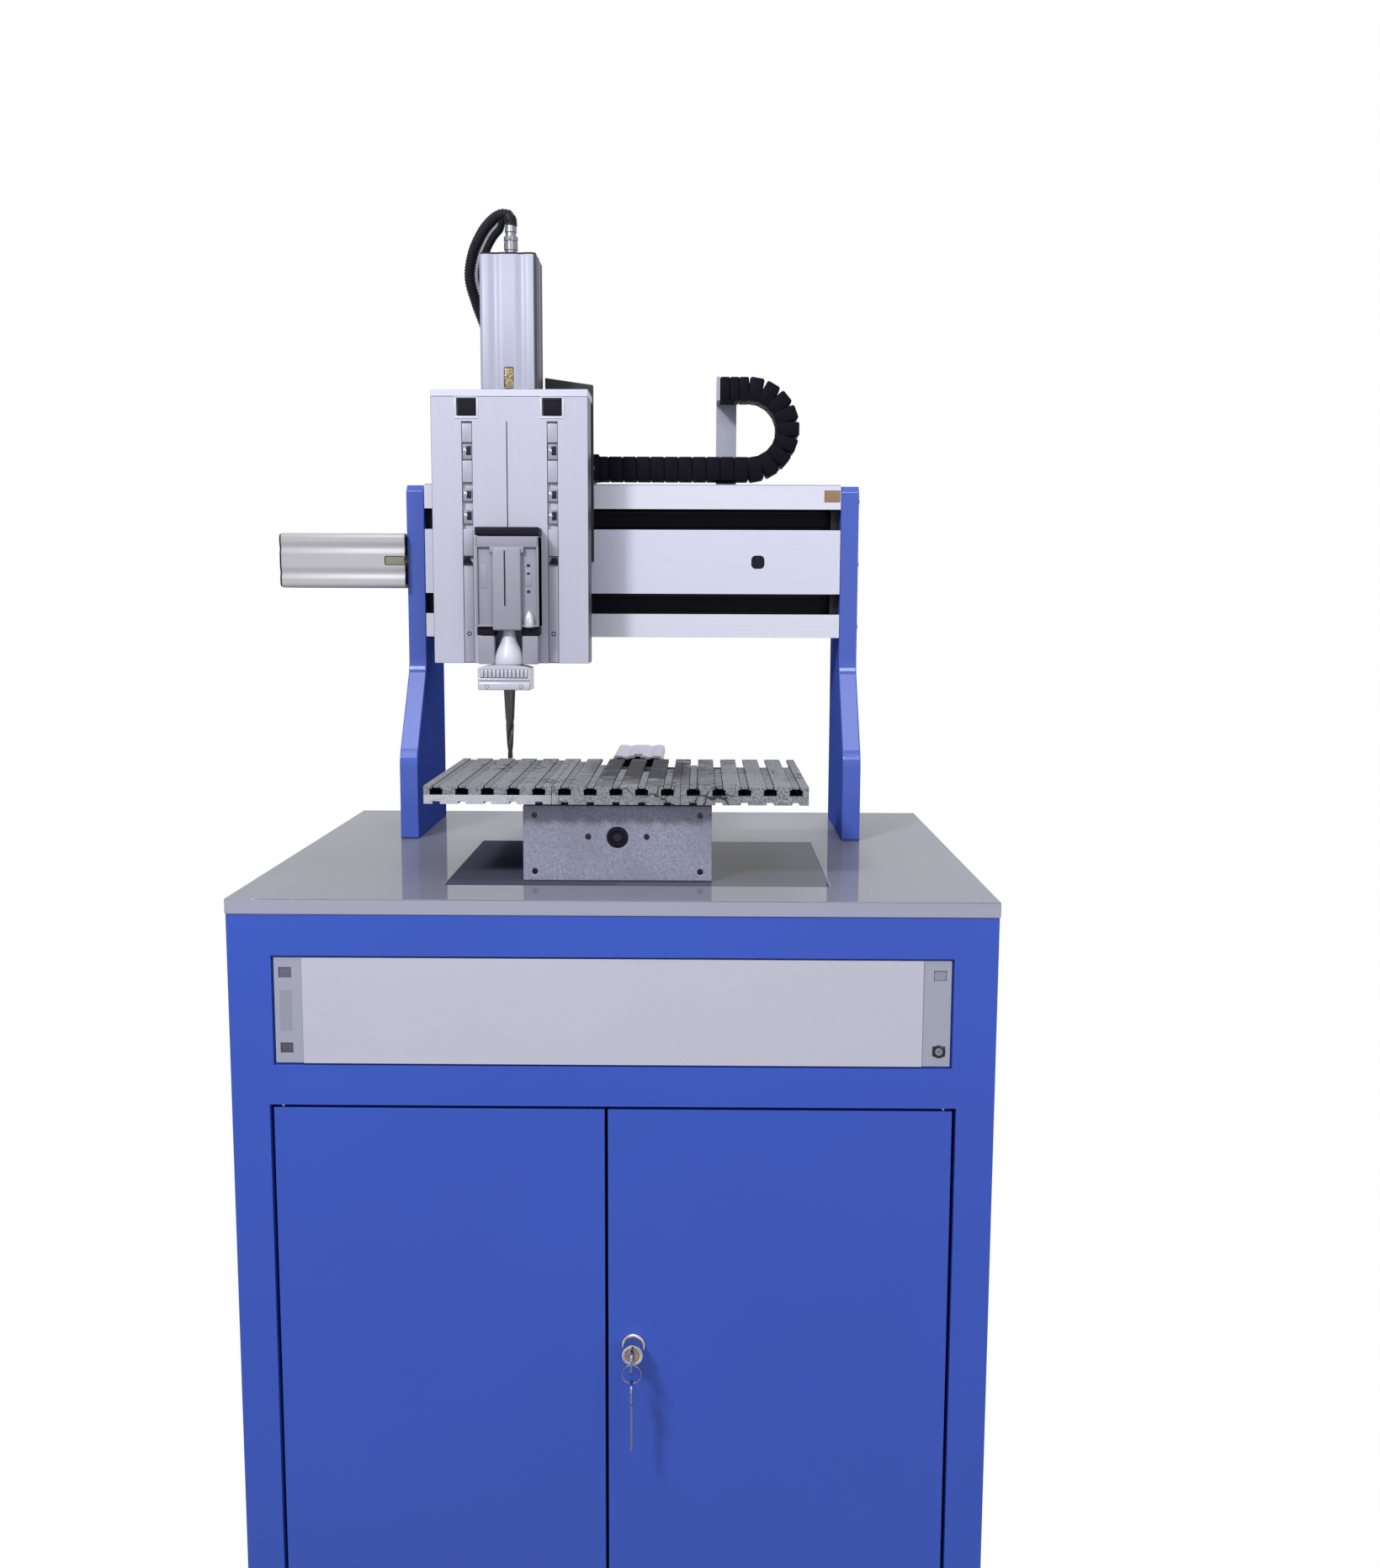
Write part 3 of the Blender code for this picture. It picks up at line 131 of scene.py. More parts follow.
white_room = background(room.nodes["Background"], (1, 1, 1, 1), 1.0)
dim_room = background(room.nodes.new("ShaderNodeBackground"), (0.95, 0.96, 1.0, 1), ROOM_LIGHT)
ray = room.nodes.new("ShaderNodeLightPath")
looking = ray.outputs["Is Camera Ray"]
for also in ("Is Glossy Ray", "Is Transmission Ray"):
    either = room.nodes.new("ShaderNodeMath")
    either.operation = "MAXIMUM"
    room.links.new(looking, either.inputs[0])
    room.links.new(ray.outputs[also], either.inputs[1])
    looking = either.outputs[0]
choose = room.nodes.new("ShaderNodeMixShader")
for source, socket in zip((looking, dim_room, white_room), choose.inputs):
    room.links.new(source, socket)
room.links.new(choose.outputs[0], room.nodes["World Output"].inputs["Surface"])
print("the room lights at", ROOM_LIGHT)

# %% [markdown]
# ## Lamps
# A key lamp stands high at the left front, so that the head throws its shadow to the right over the
# beam. Three small lamps give the bright bands on the bends and slope of the gantry plates, and three
# large ones fill in from above, from the front and from behind.

# %% Lamps
MACHINE_MIDDLE = np.array([0, 0, 0.9])
KEY_PLACE = MACHINE_MIDDLE + 3.2 * np.array([-0.40, -0.72, 0.57])
CEILING_PLACE = MACHINE_MIDDLE + 2.3 * np.array([-0.19, -0.41, 0.89])
# Each lamp's name, place, what it faces, side in metres and power in watts.
LAMPS = (
    ("key_lamp", KEY_PLACE, MACHINE_MIDDLE, 0.40, 57),
    ("ceiling_lamp", CEILING_PLACE, MACHINE_MIDDLE, 0.7, 9),
    ("left_knee_lamp", (-0.634, -1.44, 2.10), (-0.26, 0.13, 0.93), 0.34, 5),
    ("right_knee_lamp", (0.456, -1.47, 2.10), (0.26, 0.13, 0.93), 0.34, 5),
    ("right_slope_lamp", (0.487, -0.938, 2.947), (0.26, 0.05, 0.89), 0.45, 3),
    ("front_lamp", (1.75, -3.2, 1.3), MACHINE_MIDDLE, 1.6, 21.6),
    ("back_lamp", (0.5, 2.3, 3.6), MACHINE_MIDDLE, 1.6, 40),
)


def area_lamp(name, place, target, size, power):
    """Square lamp at a place, turned to face a target."""
    data = bpy.data.lights.new(name, "AREA")
    data.size = size
    data.energy = power
    made = bpy.data.objects.new(name, data)
    made.location = place
    made.rotation_euler = (Vector(target) - Vector(place)).to_track_quat("-Z", "Y").to_euler()
    scene.collection.objects.link(made)


for lamp in LAMPS:
    area_lamp(*lamp)
print(len(LAMPS), "lamps")

# %% [markdown]
# ## Finishes
# A finish is a small program: a few noises read at the surface's own place decide how colour,
# roughness and relief wander. `Value` wraps one socket so that this program reads like a sum.


# %% Shader sums
class Value:
    """A number that runs through a material. Sums with it add Math nodes."""

    def __init__(self, finish, socket):
        self.finish = finish
        self.socket = socket

    def sum_of(self, operation, first, second):
        return self.finish.node("ShaderNodeMath", {"operation": operation}, {0: first, 1: second})

    def __add__(self, other):
        return self.sum_of("ADD", self, other)

    __radd__ = __add__

    def __sub__(self, other):
        return self.sum_of("SUBTRACT", self, other)

    def __rsub__(self, other):
        return self.sum_of("SUBTRACT", other, self)

    def __mul__(self, other):
        return self.sum_of("MULTIPLY", self, other)

    __rmul__ = __mul__

    def __gt__(self, other):
        return self.sum_of("GREATER_THAN", self, other)

    def __lt__(self, other):
        return self.sum_of("LESS_THAN", self, other)

    def between(self, low, high):
        """0 below the low value, 1 above the high one, and a smooth ramp from one to the other."""
        return self.finish.node(
            "ShaderNodeMapRange",
            {"interpolation_type": "SMOOTHSTEP"},
            {"Value": self, "From Min": low, "From Max": high},
        )

    def near(self, middle, distance):
        """1 within a distance of a middle value, and 0 beyond it."""
        offset = self - middle
        return offset * offset < distance**2


print("shader values can be added, multiplied, compared and ramped")

# %% [markdown]
# `Finish` holds one material's shader and one maker for every kind of node. Its noises read Object
# coordinates, which are the machine's own metres, so that a pattern stays on its piece as it moves.


# %% A finish
class Finish:
    """One procedural material, named for what the surface is."""

    def __init__(self, name, colour, roughness, metallic=0.0, **sockets):
        self.material = bpy.data.materials.new(name)
        self.material.use_nodes = True
        self.material.diffuse_color = (*colour, 1)
        self.tree = self.material.node_tree
        self.shader = self.tree.nodes["Principled BSDF"]
        self.colour = colour
        self.shader.inputs["Base Color"].default_value = (*colour, 1)
        self.shader.inputs["Roughness"].default_value = roughness
        self.shader.inputs["Metallic"].default_value = metallic
        for socket, value in sockets.items():
            self.shader.inputs[socket.replace("_", " ")].default_value = value
        self.place = self.node("ShaderNodeTexCoord", output="Object")
        self.x, self.y, self.z = (
            self.node("ShaderNodeSeparateXYZ", inputs={0: self.place}, output=axis) for axis in "XYZ"
        )

    def node(self, kind, settings=None, inputs=None, output=0):
        """Any node: its settings first, then a value or a link for each named socket."""
        made = self.tree.nodes.new(kind)
        for name, value in (settings or {}).items():
            setattr(made, name, value)
        for name, value in (inputs or {}).items():
            self.give(made.inputs[name], value)
        return Value(self, made.outputs[output])

    def give(self, socket, value):
        if isinstance(value, Value):
            self.tree.links.new(value.socket, socket)
        else:
            socket.default_value = value

    def noise(self, scale, stretch=(1, 1, 1), detail=2.0, distortion=0.0):
        """Cloudy noise about 0.5. Scale is in features a metre, and a small stretch draws them out."""
        spread = self.node(
            "ShaderNodeVectorMath",
            {"operation": "MULTIPLY"},
            {0: self.place, 1: tuple(scale * s for s in stretch)},
        )
        wanted = {"Vector": spread, "Scale": 1.0, "Detail": detail, "Distortion": distortion}
        return self.node("ShaderNodeTexNoise", inputs=wanted)

    def mix(self, share, first, second):
        """Colour between two others."""
        colours = [c if isinstance(c, Value) else (*c, 1) for c in (first, second)]
        inputs = {0: share, 6: colours[0], 7: colours[1]}
        return self.node("ShaderNodeMix", {"data_type": "RGBA"}, inputs, output=2)

    def vary(self, socket, value):
        self.give(self.shader.inputs[socket], value)

    def relief(self, height, depth):
        """Bump from a height that runs from 0 to 1 over a depth in metres."""
        bump = self.node("ShaderNodeBump", inputs={"Height": height, "Distance": depth})
        self.vary("Normal", bump)

    def base(self):
        """What feeds the base colour so far."""
        return Value(self, self.shader.inputs["Base Color"].links[0].from_socket)

    def shade(self, factor):
        """The finish's own colour, darker and lighter by a factor."""
        return tuple(min(1.0, c * factor) for c in self.colour)


print("a finish varies its colour, its roughness and its relief")

# %% [markdown]
# Powder coat is smooth paint with a faint orange-peel relief and soft gloss changes. The gantry's coat
# is a little paler than the cabinet's, and only the narrow faces of its plates have a clear coat, whose
# bends catch the lamps. The worktop, the sheet let into it and the control panel are polished boards
# under a clear film. The worktop's edge band is paler than its top.


# %% Paint and laminate
def powder_coat(name, colour, roughness, shine=0.3, coat_weight=0.1):
    """Baked paint: a slow cloud in the colour, and fine orange peel in the relief."""
    coat = Finish(name, colour, roughness, Coat_Weight=coat_weight, Specular_IOR_Level=shine)
    cloud, peel = coat.noise(5), coat.noise(650)
    coat.vary("Base Color", coat.mix(cloud, coat.shade(0.93), coat.shade(1.07)))
    coat.vary("Roughness", roughness - 0.06 + 0.12 * coat.noise(40))
    coat.relief(peel, 0.00005)
    return coat


def laminate(name, colour, roughness, film):
    """Polished board under a clear film, with a fine speckle and wiped dust."""
    sheet = Finish(
        name, colour, 0.5, Specular_IOR_Level=0.05, Coat_Weight=film, Coat_Roughness=roughness
    )
    speckle, dust = sheet.noise(900), sheet.noise(7, detail=4.0)
    sheet.vary("Base Color", sheet.mix(0.6 * speckle + 0.4 * dust, sheet.shade(0.92), sheet.shade(1.08)))
    sheet.vary("Roughness", 0.4 + 0.2 * dust)
    sheet.relief(sheet.noise(120), 0.00001)
    return sheet


cabinet_blue = powder_coat("cabinet_blue", (0.033, 0.083, 0.460), 0.40)
gantry_blue = powder_coat("gantry_blue", (0.058, 0.105, 0.450), 0.40, 0.0, 0.0)
PLATE_ROUNDING = 0.0006
gantry_low, gantry_high = corners("gantry_right")
inside_outer = gantry_blue.x.near(0, gantry_high[0] - PLATE_ROUNDING)
inside_inner = gantry_blue.x.near(0, gantry_low[0] + PLATE_ROUNDING)
gantry_blue.vary("Coat Weight", inside_outer * (1 - inside_inner) * 0.7)
gantry_blue.shader.inputs["Coat Roughness"].default_value = 0.12

label_lacquer = laminate("label_lacquer", (0.500, 0.500, 0.590), 0.22, 0.2)
panel_lacquer = laminate("panel_lacquer", (0.340, 0.355, 0.440), 0.3, 0.2)
ear_lacquer = laminate("ear_lacquer", (0.285, 0.300, 0.360), 0.3, 0.2)
base_sheet_gloss = laminate("base_sheet_gloss", (0.070, 0.075, 0.110), 0.04, 0.3)
# Only the right half gets a clear coat, standing in for the reflection on that half; the left half stays
# dark.
base_sheet_gloss.vary("Coat Weight", 0.33 * (base_sheet_gloss.x > 0))
base_sheet_gloss.shader.inputs["Specular IOR Level"].default_value = 0.0

BAND_COLOUR, BAND_ROUNDING = (0.330, 0.340, 0.440), 0.001
worktop_gloss = laminate("worktop_gloss", (0.175, 0.178, 0.225), 0.04, 0.45)
board_top = corners("worktop")[1][2]
on_edge = worktop_gloss.z < board_top - BAND_ROUNDING
worktop_gloss.vary("Base Color", worktop_gloss.mix(on_edge, worktop_gloss.base(), BAND_COLOUR))
print("paint and laminate: 7 finishes, with the worktop at", round(board_top, 3), "m")


# %% [markdown]
# Anodised extrusion shows fine die lines along its length. The noise is squeezed across the length and drawn
# out along it, so the same recipe turns with the profile. Where a channel is cut into the face, painted
# shade makes it black inside: the open profiles get a dark colour below their face.


# %% Drawn metal
DRAWN = 0.012


def drawn_along(axis):
    """Stretch of a noise: 1 across the axis, and a small share along it."""
    return tuple(np.where(np.arange(3) == axis, DRAWN, 1.0).tolist())


def anodised(name, colour, axis, roughness=0.45, metallic=0.12):
    """Matt oxide skin over aluminium, with fine lines along one axis."""
    skin = Finish(name, colour, roughness, metallic, Specular_IOR_Level=0.3)
    lines, cloud = skin.noise(900, drawn_along(axis), 3.0), skin.noise(9, drawn_along(axis))
    skin.vary("Base Color", skin.mix(0.5 * lines + 0.5 * cloud, skin.shade(0.90), skin.shade(1.08)))
    skin.vary("Roughness", roughness - 0.08 + 0.16 * lines)
    skin.relief(lines, 0.00003)
    return skin


def paint_shade_black(skin, inside):
    """Painted shade: black where the mask is 1, as the bottom of a deep channel looks."""
    skin.vary("Base Color", skin.mix(inside, skin.base(), (0.006, 0.005, 0.012)))


def steel(name, colour, axis, roughness=0.22):
    """Ground steel: fully metallic, with grinding lines along one axis."""
    ground = Finish(name, colour, roughness, 1.0)
    lines = ground.noise(1500, drawn_along(axis), 2.0)
    ground.vary("Roughness", roughness - 0.06 + 0.14 * lines)
    ground.vary("Base Color", ground.mix(ground.noise(30), ground.shade(0.88), ground.shade(1.05)))
    ground.relief(lines, 0.00001)
    return ground


print("lines drawn out", round(1 / DRAWN), "times")

# %% [markdown]
# Each profile gets painted shade, black below its face: the beam and the table's profile within their
# channel, the head on its outer sides, and the Z motor's cover on its right side, which faces away from the
# light.

# %% The profiles' finishes
ALUMINIUM = (0.53, 0.54, 0.66)
CHANNEL_HALF, FACE_SKIN, JUST_INSIDE = 0.0616, 0.0012, 0.0004

beam_low, beam_high = corners("x_beam")
beam_middle = (beam_low[2] + beam_high[2]) / 2
beam_skin = anodised("beam_skin", (0.60, 0.61, 0.72), 0)
behind_face = beam_skin.y > beam_low[1] + FACE_SKIN
# Painted shade: black inside the beam's channel.
paint_shade_black(beam_skin, behind_face * beam_skin.z.near(beam_middle, CHANNEL_HALF))

y_skin = anodised("y_profile_skin", ALUMINIUM, 1)
under_face = y_skin.z < corners("y_profile")[1][2] - FACE_SKIN
# Painted shade: black inside the table profile's channel.
paint_shade_black(y_skin, under_face * y_skin.x.near(0, CHANNEL_HALF))

head_low, head_high = corners("z_profile")
head_x = (head_low[0] + head_high[0]) / 2
head_skin = anodised("head_skin", (0.435, 0.44, 0.545), 2)
# Painted shade: the head's outer sides are darkened, as they lie in shade.
paint_shade_black(head_skin, (1 - head_skin.x.near(head_x, head_high[0] - head_x - JUST_INSIDE)) * 0.8)

z_skin = anodised("z_skin", (0.330, 0.337, 0.435), 2)
# Painted shade: the Z motor cover's right side, turned away from the light, is darkened.
paint_shade_black(z_skin, (z_skin.x > corners("z_motor_cover")[1][0] - 0.0036) * 0.85)
print("head at x", round(head_x, 4), "m, beam", round(beam_high[2] - beam_low[2], 3), "m high")

# %% [markdown]
# The other metals need only their colour, the axis that their lines run along, and how rough they are.

# %% Plain metals
x_skin = anodised("x_skin", (0.40, 0.395, 0.42), 0)
flat_skin = anodised("flat_skin", ALUMINIUM, 0)
slider_skin = anodised("slider_skin", (0.012, 0.011, 0.016), 2, 0.5, 0.0)
strip_skin = anodised("strip_skin", (0.350, 0.352, 0.440), 2)
cover_white = anodised("cover_white", (0.58, 0.59, 0.73), 0, 0.35, 0.05)
# Darker than the head: partly the cover's own grey, partly painted shade, as the cover lies in shade. The
# clamp's recess uses it as painted shade.
spindle_grey = anodised("spindle_grey", (0.262, 0.262, 0.325), 2, 0.5, 0.05)
spindle_spine = anodised("spindle_spine", (0.272, 0.272, 0.340), 2, 0.45, 0.05)
# Pale anodising. On the nose it is also painted light: paler than the head, as the nose stands in the light
# below the cover's shade.
nose_white = anodised("nose_white", (0.56, 0.57, 0.66), 2, 0.4, 0.05)
clamp_silver = anodised("clamp_silver", (0.50, 0.50, 0.58), 0, 0.3, 0.4)
# Near-black steel. On the Y and Z rails and the spindle's shaft this darkness is painted shade, and so it is
# on the dark marks for slots and holes; the small screws, the washer and the bearing's centre are dark
# steel.
rail_steel = steel("rail_steel", (0.035, 0.033, 0.045), 0)
screw_steel = steel("screw_steel", (0.46, 0.46, 0.48), 2)
cutter_steel = steel("cutter_steel", (0.075, 0.070, 0.080), 2, 0.3)
pin_steel = steel("pin_steel", (0.35, 0.35, 0.36), 2)
print("13 plain metals")


# %% [markdown]
# The table's planks and the plate in front of them are rough and stained: a pale grey ground, a sandy
# grain, broken dark veins and bright worn ridges. Veins are the thin borders of a cell pattern whose
# place is shaken by noise, and a slower noise decides where they break off.


# %% Rough castings
def casting(name, colour, vein_share, grain_share):
    """Ground colour from grain and patches, then dark veins where both borders and patches allow."""
    rough = Finish(name, colour, 0.62, 0.15)
    shake = rough.node(
        "ShaderNodeTexNoise", inputs={"Vector": rough.place, "Scale": 60.0}, output="Color"
    )
    shaken = rough.node(
        "ShaderNodeMix", {"data_type": "RGBA"}, {0: 0.018, 6: rough.place, 7: shake}, output=2
    )
    cells = rough.node(
        "ShaderNodeTexVoronoi", {"feature": "DISTANCE_TO_EDGE"}, {"Vector": shaken, "Scale": 42.0}
    )
    patches, grain = rough.noise(14, detail=3.0), rough.noise(700, detail=4.0)
    veins = (1 - cells.between(0.008, 0.05)) * patches.between(0.62 - vein_share, 0.70 - vein_share)
    speck = grain.between(0.40, 0.62)
    ground = rough.mix(speck * grain_share, rough.shade(1.12), rough.shade(0.50))
    stained = rough.mix(patches.between(0.35, 0.75) * 0.5, ground, rough.shade(0.70))
    rough.vary("Base Color", rough.mix(veins * 0.9, stained, (0.022, 0.020, 0.026)))
    rough.vary("Roughness", 0.5 + 0.3 * grain)
    rough.relief(grain * 0.6 - veins, 0.0004)
    return rough


print("a casting has grain, patches and veins")

# %% [markdown]
# The table's slots get painted shade, black inside. About its middle a dark stain lies in broken spots,
# which run together towards the back, and the left part of its front face gets a painted highlight along the
# foot.


# %% Table and plate
def stain_shade_and_highlight_table(cast, low, high):
    """Masks are products of ranges: 1 where the place lies within all of them."""
    x, y, z = cast.x, cast.y, cast.z
    inner = (z < high[2] - JUST_INSIDE) * (z > low[2] + JUST_INSIDE) * (y > low[1] + JUST_INSIDE)
    # Painted shade: black inside the table's slots.
    paint_shade_black(cast, inner * x.near(0, high[0] - JUST_INSIDE) * 0.92)
    top = z > high[2] - JUST_INSIDE
    spots = cast.noise(38, detail=5.0, distortion=0.6).between(0.36, 0.52)
    spots = spots * x.between(-0.06, -0.01) * (1 - x.between(0.06, 0.12))
    spots = spots * (0.55 + 0.4 * y.between(-0.20, -0.06)) * top
    stain = x.between(-0.035, 0.0) * (1 - x.between(0.035, 0.075)) * y.between(-0.19, -0.10) * top
    stained = cast.mix(spots + stain * 0.8, cast.base(), (0.030, 0.028, 0.034))
    # Painted highlight: the left part of the front face is paler along the foot.
    painted_highlight = (y < low[1] + JUST_INSIDE) * (1 - x.between(-0.10, -0.03)) * (z < low[2] + 0.0092)
    cast.vary("Base Color", cast.mix(painted_highlight * 0.55, stained, (0.62, 0.62, 0.70)))


table_cast = casting("table_cast", (0.262, 0.262, 0.296), 0.10, 1.0)
table_low, table_high = corners("table_plank_1")[0], corners("table_plank_3")[1]
stain_shade_and_highlight_table(table_cast, table_low, table_high)
# Painted shade: the slot strips are a darker copy of the table's casting, as they lie in shade.
strip_cast = casting("strip_cast", (0.215, 0.215, 0.245), 0.12, 1.0)
for dull in (table_cast, strip_cast):
    dull.shader.inputs["Specular IOR Level"].default_value = 0.12
    dull.shader.inputs["Metallic"].default_value = 0.0
plate_cast = casting("plate_cast", (0.270, 0.280, 0.375), -0.05, 0.55)
print("table", *np.round((table_high - table_low)[:2], 3), "m")

# %% [markdown]
# The small materials: moulded black, brass that has been handled, nickel plate, key steel.


# %% Plastic, brass and plate
def moulded(name, colour, roughness, shine=0.12):
    """Moulded plastic, a little uneven in tone and gloss, with a fine leather grain."""
    plastic = Finish(name, colour, roughness, Specular_IOR_Level=shine)
    plastic.vary("Roughness", roughness - 0.08 + 0.16 * plastic.noise(150))
    plastic.vary("Base Color", plastic.mix(plastic.noise(25), plastic.shade(0.8), plastic.shade(1.3)))
    plastic.relief(plastic.noise(1400), 0.00003)
    return plastic


def plated(name, colour, roughness):
    """Polished plating, duller and darker where wear has marked it."""
    plate = Finish(name, colour, roughness, 1.0)
    wear = plate.noise(220, detail=4.0)
    plate.vary("Base Color", plate.mix(wear.between(0.45, 0.7), plate.colour, plate.shade(0.72)))
    plate.vary("Roughness", roughness + 0.2 * wear.between(0.4, 0.8))
    return plate


# Near black: the head's stops are black plastic, and the X rails get it as painted shade within the beam's
# channel.
black_plastic_and_rail_shade = moulded("black_plastic_and_rail_shade", (0.0050, 0.0040, 0.0100), 0.6)
chain_black = moulded("chain_black", (0.0050, 0.0042, 0.0085), 0.55, 0.04)
motor_black = moulded("motor_black", (0.012, 0.012, 0.014), 0.5)
plug_black = moulded("plug_black", (0.006, 0.005, 0.012), 0.5)
conduit_black = moulded("conduit_black", (0.010, 0.009, 0.014), 0.38)
# Grey for the strand that paints the highlight on the motor conduit.
highlight_grey = moulded("highlight_grey", (0.33, 0.33, 0.37), 0.4)
cage_grey = moulded("cage_grey", (0.120, 0.120, 0.190), 0.5)
cage_dark = moulded("cage_dark", (0.085, 0.085, 0.105), 0.5)
cage_pale = moulded("cage_pale", (0.270, 0.275, 0.370), 0.5)
cage_steel = moulded("cage_steel", (0.24, 0.23, 0.28), 0.4)
gauze_grey = moulded("gauze_grey", (0.215, 0.200, 0.165), 0.5)
tan_patch_finish = moulded("tan_patch_finish", (0.275, 0.178, 0.112), 0.6)
brass = plated("brass", (0.78, 0.60, 0.27), 0.25)
brass_gauze = plated("brass_gauze", (0.62, 0.50, 0.27), 0.4)
weave = brass_gauze.noise(1300, detail=1.0).between(0.42, 0.60)
brass_gauze.vary("Base Color", brass_gauze.mix(weave, (0.060, 0.050, 0.030), (0.70, 0.58, 0.33)))
brass_gauze.relief(weave, 0.0006)
nickel = plated("nickel", (0.62, 0.58, 0.57), 0.16)
satin_nickel = steel("satin_nickel", (0.22, 0.22, 0.25), 2, 0.32)
# Painted reflection and shade: the keys' dark blue stands for the blue door reflected in them and the shade
# they hang in.
key_plate = plated("key_plate", (0.15, 0.17, 0.30), 0.2)
lock_bronze = plated("lock_bronze", (0.36, 0.27, 0.22), 0.3)
print("moulded plastic, brass and plate ready")

# %% [markdown]
# ## Surfaces from arrays
# Every new piece is a skin over rings of points: ring i is joined to ring i + 1, and each end gets a
# flat cap. The simplest is a box with rounded edges.


# %% Skins
def skin_of(rings):
    """Points and faces of a closed skin: ring i is joined to ring i + 1, and the ends get flat caps."""
    count, around, _ = rings.shape
    index = np.arange(count * around).reshape(count, around)
    here, on = index[:-1], index[1:]
    sides = np.stack([here, np.roll(here, -1, 1), np.roll(on, -1, 1), on], -1).reshape(-1, 4)
    return rings.reshape(-1, 3), sides.tolist() + [index[0, ::-1].tolist(), index[-1].tolist()]


def corner_arcs(steps):
    """Sign of each corner of a rectangle, and the unit arc round it, for all the points of an outline."""
    angle = (np.arange(4)[:, None] + np.linspace(0, 1, steps)).ravel() * np.pi / 2
    signs = np.array([(1, 1), (-1, 1), (-1, -1), (1, -1)]).repeat(steps, 0)
    return signs, np.stack([np.cos(angle), np.sin(angle)], 1)


def block(low, high, radius=0.0006, steps=4):
    """Box with rounded edges. At angle t its outline is drawn in by r(1 - sin t), at height r(1 - cos t)."""
    low, high = np.asarray(low, float), np.asarray(high, float)
    size = high - low
    radius = min(radius, 0.49 * size.min())
    signs, arcs = corner_arcs(steps)
    angle = np.linspace(0.12, np.pi / 2, steps)
    reach, rise = radius * np.sin(angle), radius * (1 - np.cos(angle))
    reach, height = np.r_[reach, reach[::-1]], np.r_[rise, size[2] - rise[::-1]]
    flat = signs * (size[:2] / 2 - radius) + reach[:, None, None] * arcs
    tall = np.broadcast_to(height[:, None, None], flat.shape[:2] + (1,))
    return skin_of(np.concatenate([flat, tall], -1) + [*(low + high)[:2] / 2, low[2]])


def around(middle, half):
    """The range that reaches as far to either side of a middle."""
    return middle - half, middle + half


def brick(x, y, z, radius=0.0006, steps=4):
    """The same block, from its range along each axis."""
    return block(*zip(x, y, z), radius, steps)


print("a rounded block has", len(brick((0, 1), (0, 1), (0, 1))[1]), "faces")

# %% [markdown]
# Round and long pieces are skins too: a turned part is a row of circles along an axis, a tube is a circle
# that travels along a path, and an extrusion is one outline at either end.


# %% Turned, swept and extruded
def frame_across(towards):
    """Two unit vectors square to a direction and to each other."""
    towards = np.asarray(towards, float) / np.linalg.norm(towards)
    helper = UP if abs(towards[2]) < 0.9 else RIGHT
    first = np.cross(helper, towards)
    first /= np.linalg.norm(first)
    return first, np.cross(towards, first), towards


def turned(profile, at, towards=UP, sides=32):
    """Turned part: each (distance along the axis, radius) of the profile becomes a circle."""
    first, second, axis = frame_across(towards)
    along, radius = np.array(profile, float).T
    angle = np.arange(sides) * 2 * np.pi / sides
    circle = np.outer(np.cos(angle), first) + np.outer(np.sin(angle), second)
    return skin_of(np.asarray(at) + along[:, None, None] * axis + radius[:, None, None] * circle)


def swept(path, radius, sides=16, flat=BACK):
    """Tube along a path: at each point a circle square to the path's direction there."""
    path = np.asarray(path, float)
    along = np.gradient(path, axis=0)
    along /= np.linalg.norm(along, axis=1, keepdims=True)
    first = np.cross(along, flat)
    first /= np.linalg.norm(first, axis=1, keepdims=True)
    second = np.cross(along, first)
    angle = np.arange(sides)[None, :, None] * 2 * np.pi / sides
    circle = np.cos(angle) * first[:, None] + np.sin(angle) * second[:, None]
    return skin_of(path[:, None] + np.broadcast_to(radius, len(path))[:, None, None] * circle)


def extruded(outline, at, across, up, along, length):
    """Outline of (across, up) points, carried a length along a third direction."""
    across, up, along = (np.asarray(v, float) for v in (across, up, along))
    flat = np.asarray(at) + np.outer(outline[:, 0], across) + np.outer(outline[:, 1], up)
    return skin_of(np.stack([flat, flat + along * length]))


print("a turned rod of 32 sides has", len(turned([(0, 1), (1, 1)], (0, 0, 0))[1]), "faces")

# %% [markdown]
# `piece` joins a few skins into one object, turns its faces outwards, paints it, and hangs it on the
# body that it moves with.


# %% Pieces
def joined(shapes):
    """One set of points and faces from several."""
    points, faces, start = [], [], 0
    for shape_points, shape_faces in shapes:
        points.append(shape_points)
        faces += [[start + i for i in face] for face in shape_faces]
        start += len(shape_points)
    return np.concatenate(points), faces


def turn_outwards(mesh):
    """Turn every face of a closed mesh to face outwards."""
    work = bmesh.new()
    work.from_mesh(mesh)
    bmesh.ops.recalc_face_normals(work, faces=work.faces)
    work.to_mesh(mesh)
    work.free()


def rounded_outline(width, height, radius, steps=5):
    """Rectangle with round corners: the corner's centre plus r times the unit arc round it."""
    signs, arcs = corner_arcs(steps)
    return signs * (width / 2 - radius, height / 2 - radius) + radius * arcs


def slab(at, across, up, size, radius, rise, ease=0.0004):
    """Rounded rectangle raised from a face, its rim eased by a small chamfer."""
    foot = rounded_outline(*size, radius)
    rim = rounded_outline(size[0] - 2 * ease, size[1] - 2 * ease, radius - ease)
    outlines = np.stack([foot, foot, rim])
    flat = outlines[..., :1] * np.asarray(across) + outlines[..., 1:] * np.asarray(up)
    lift = np.array([0, rise - ease, rise])[:, None, None] * np.cross(across, up)
    return skin_of(np.asarray(at) + flat + lift)


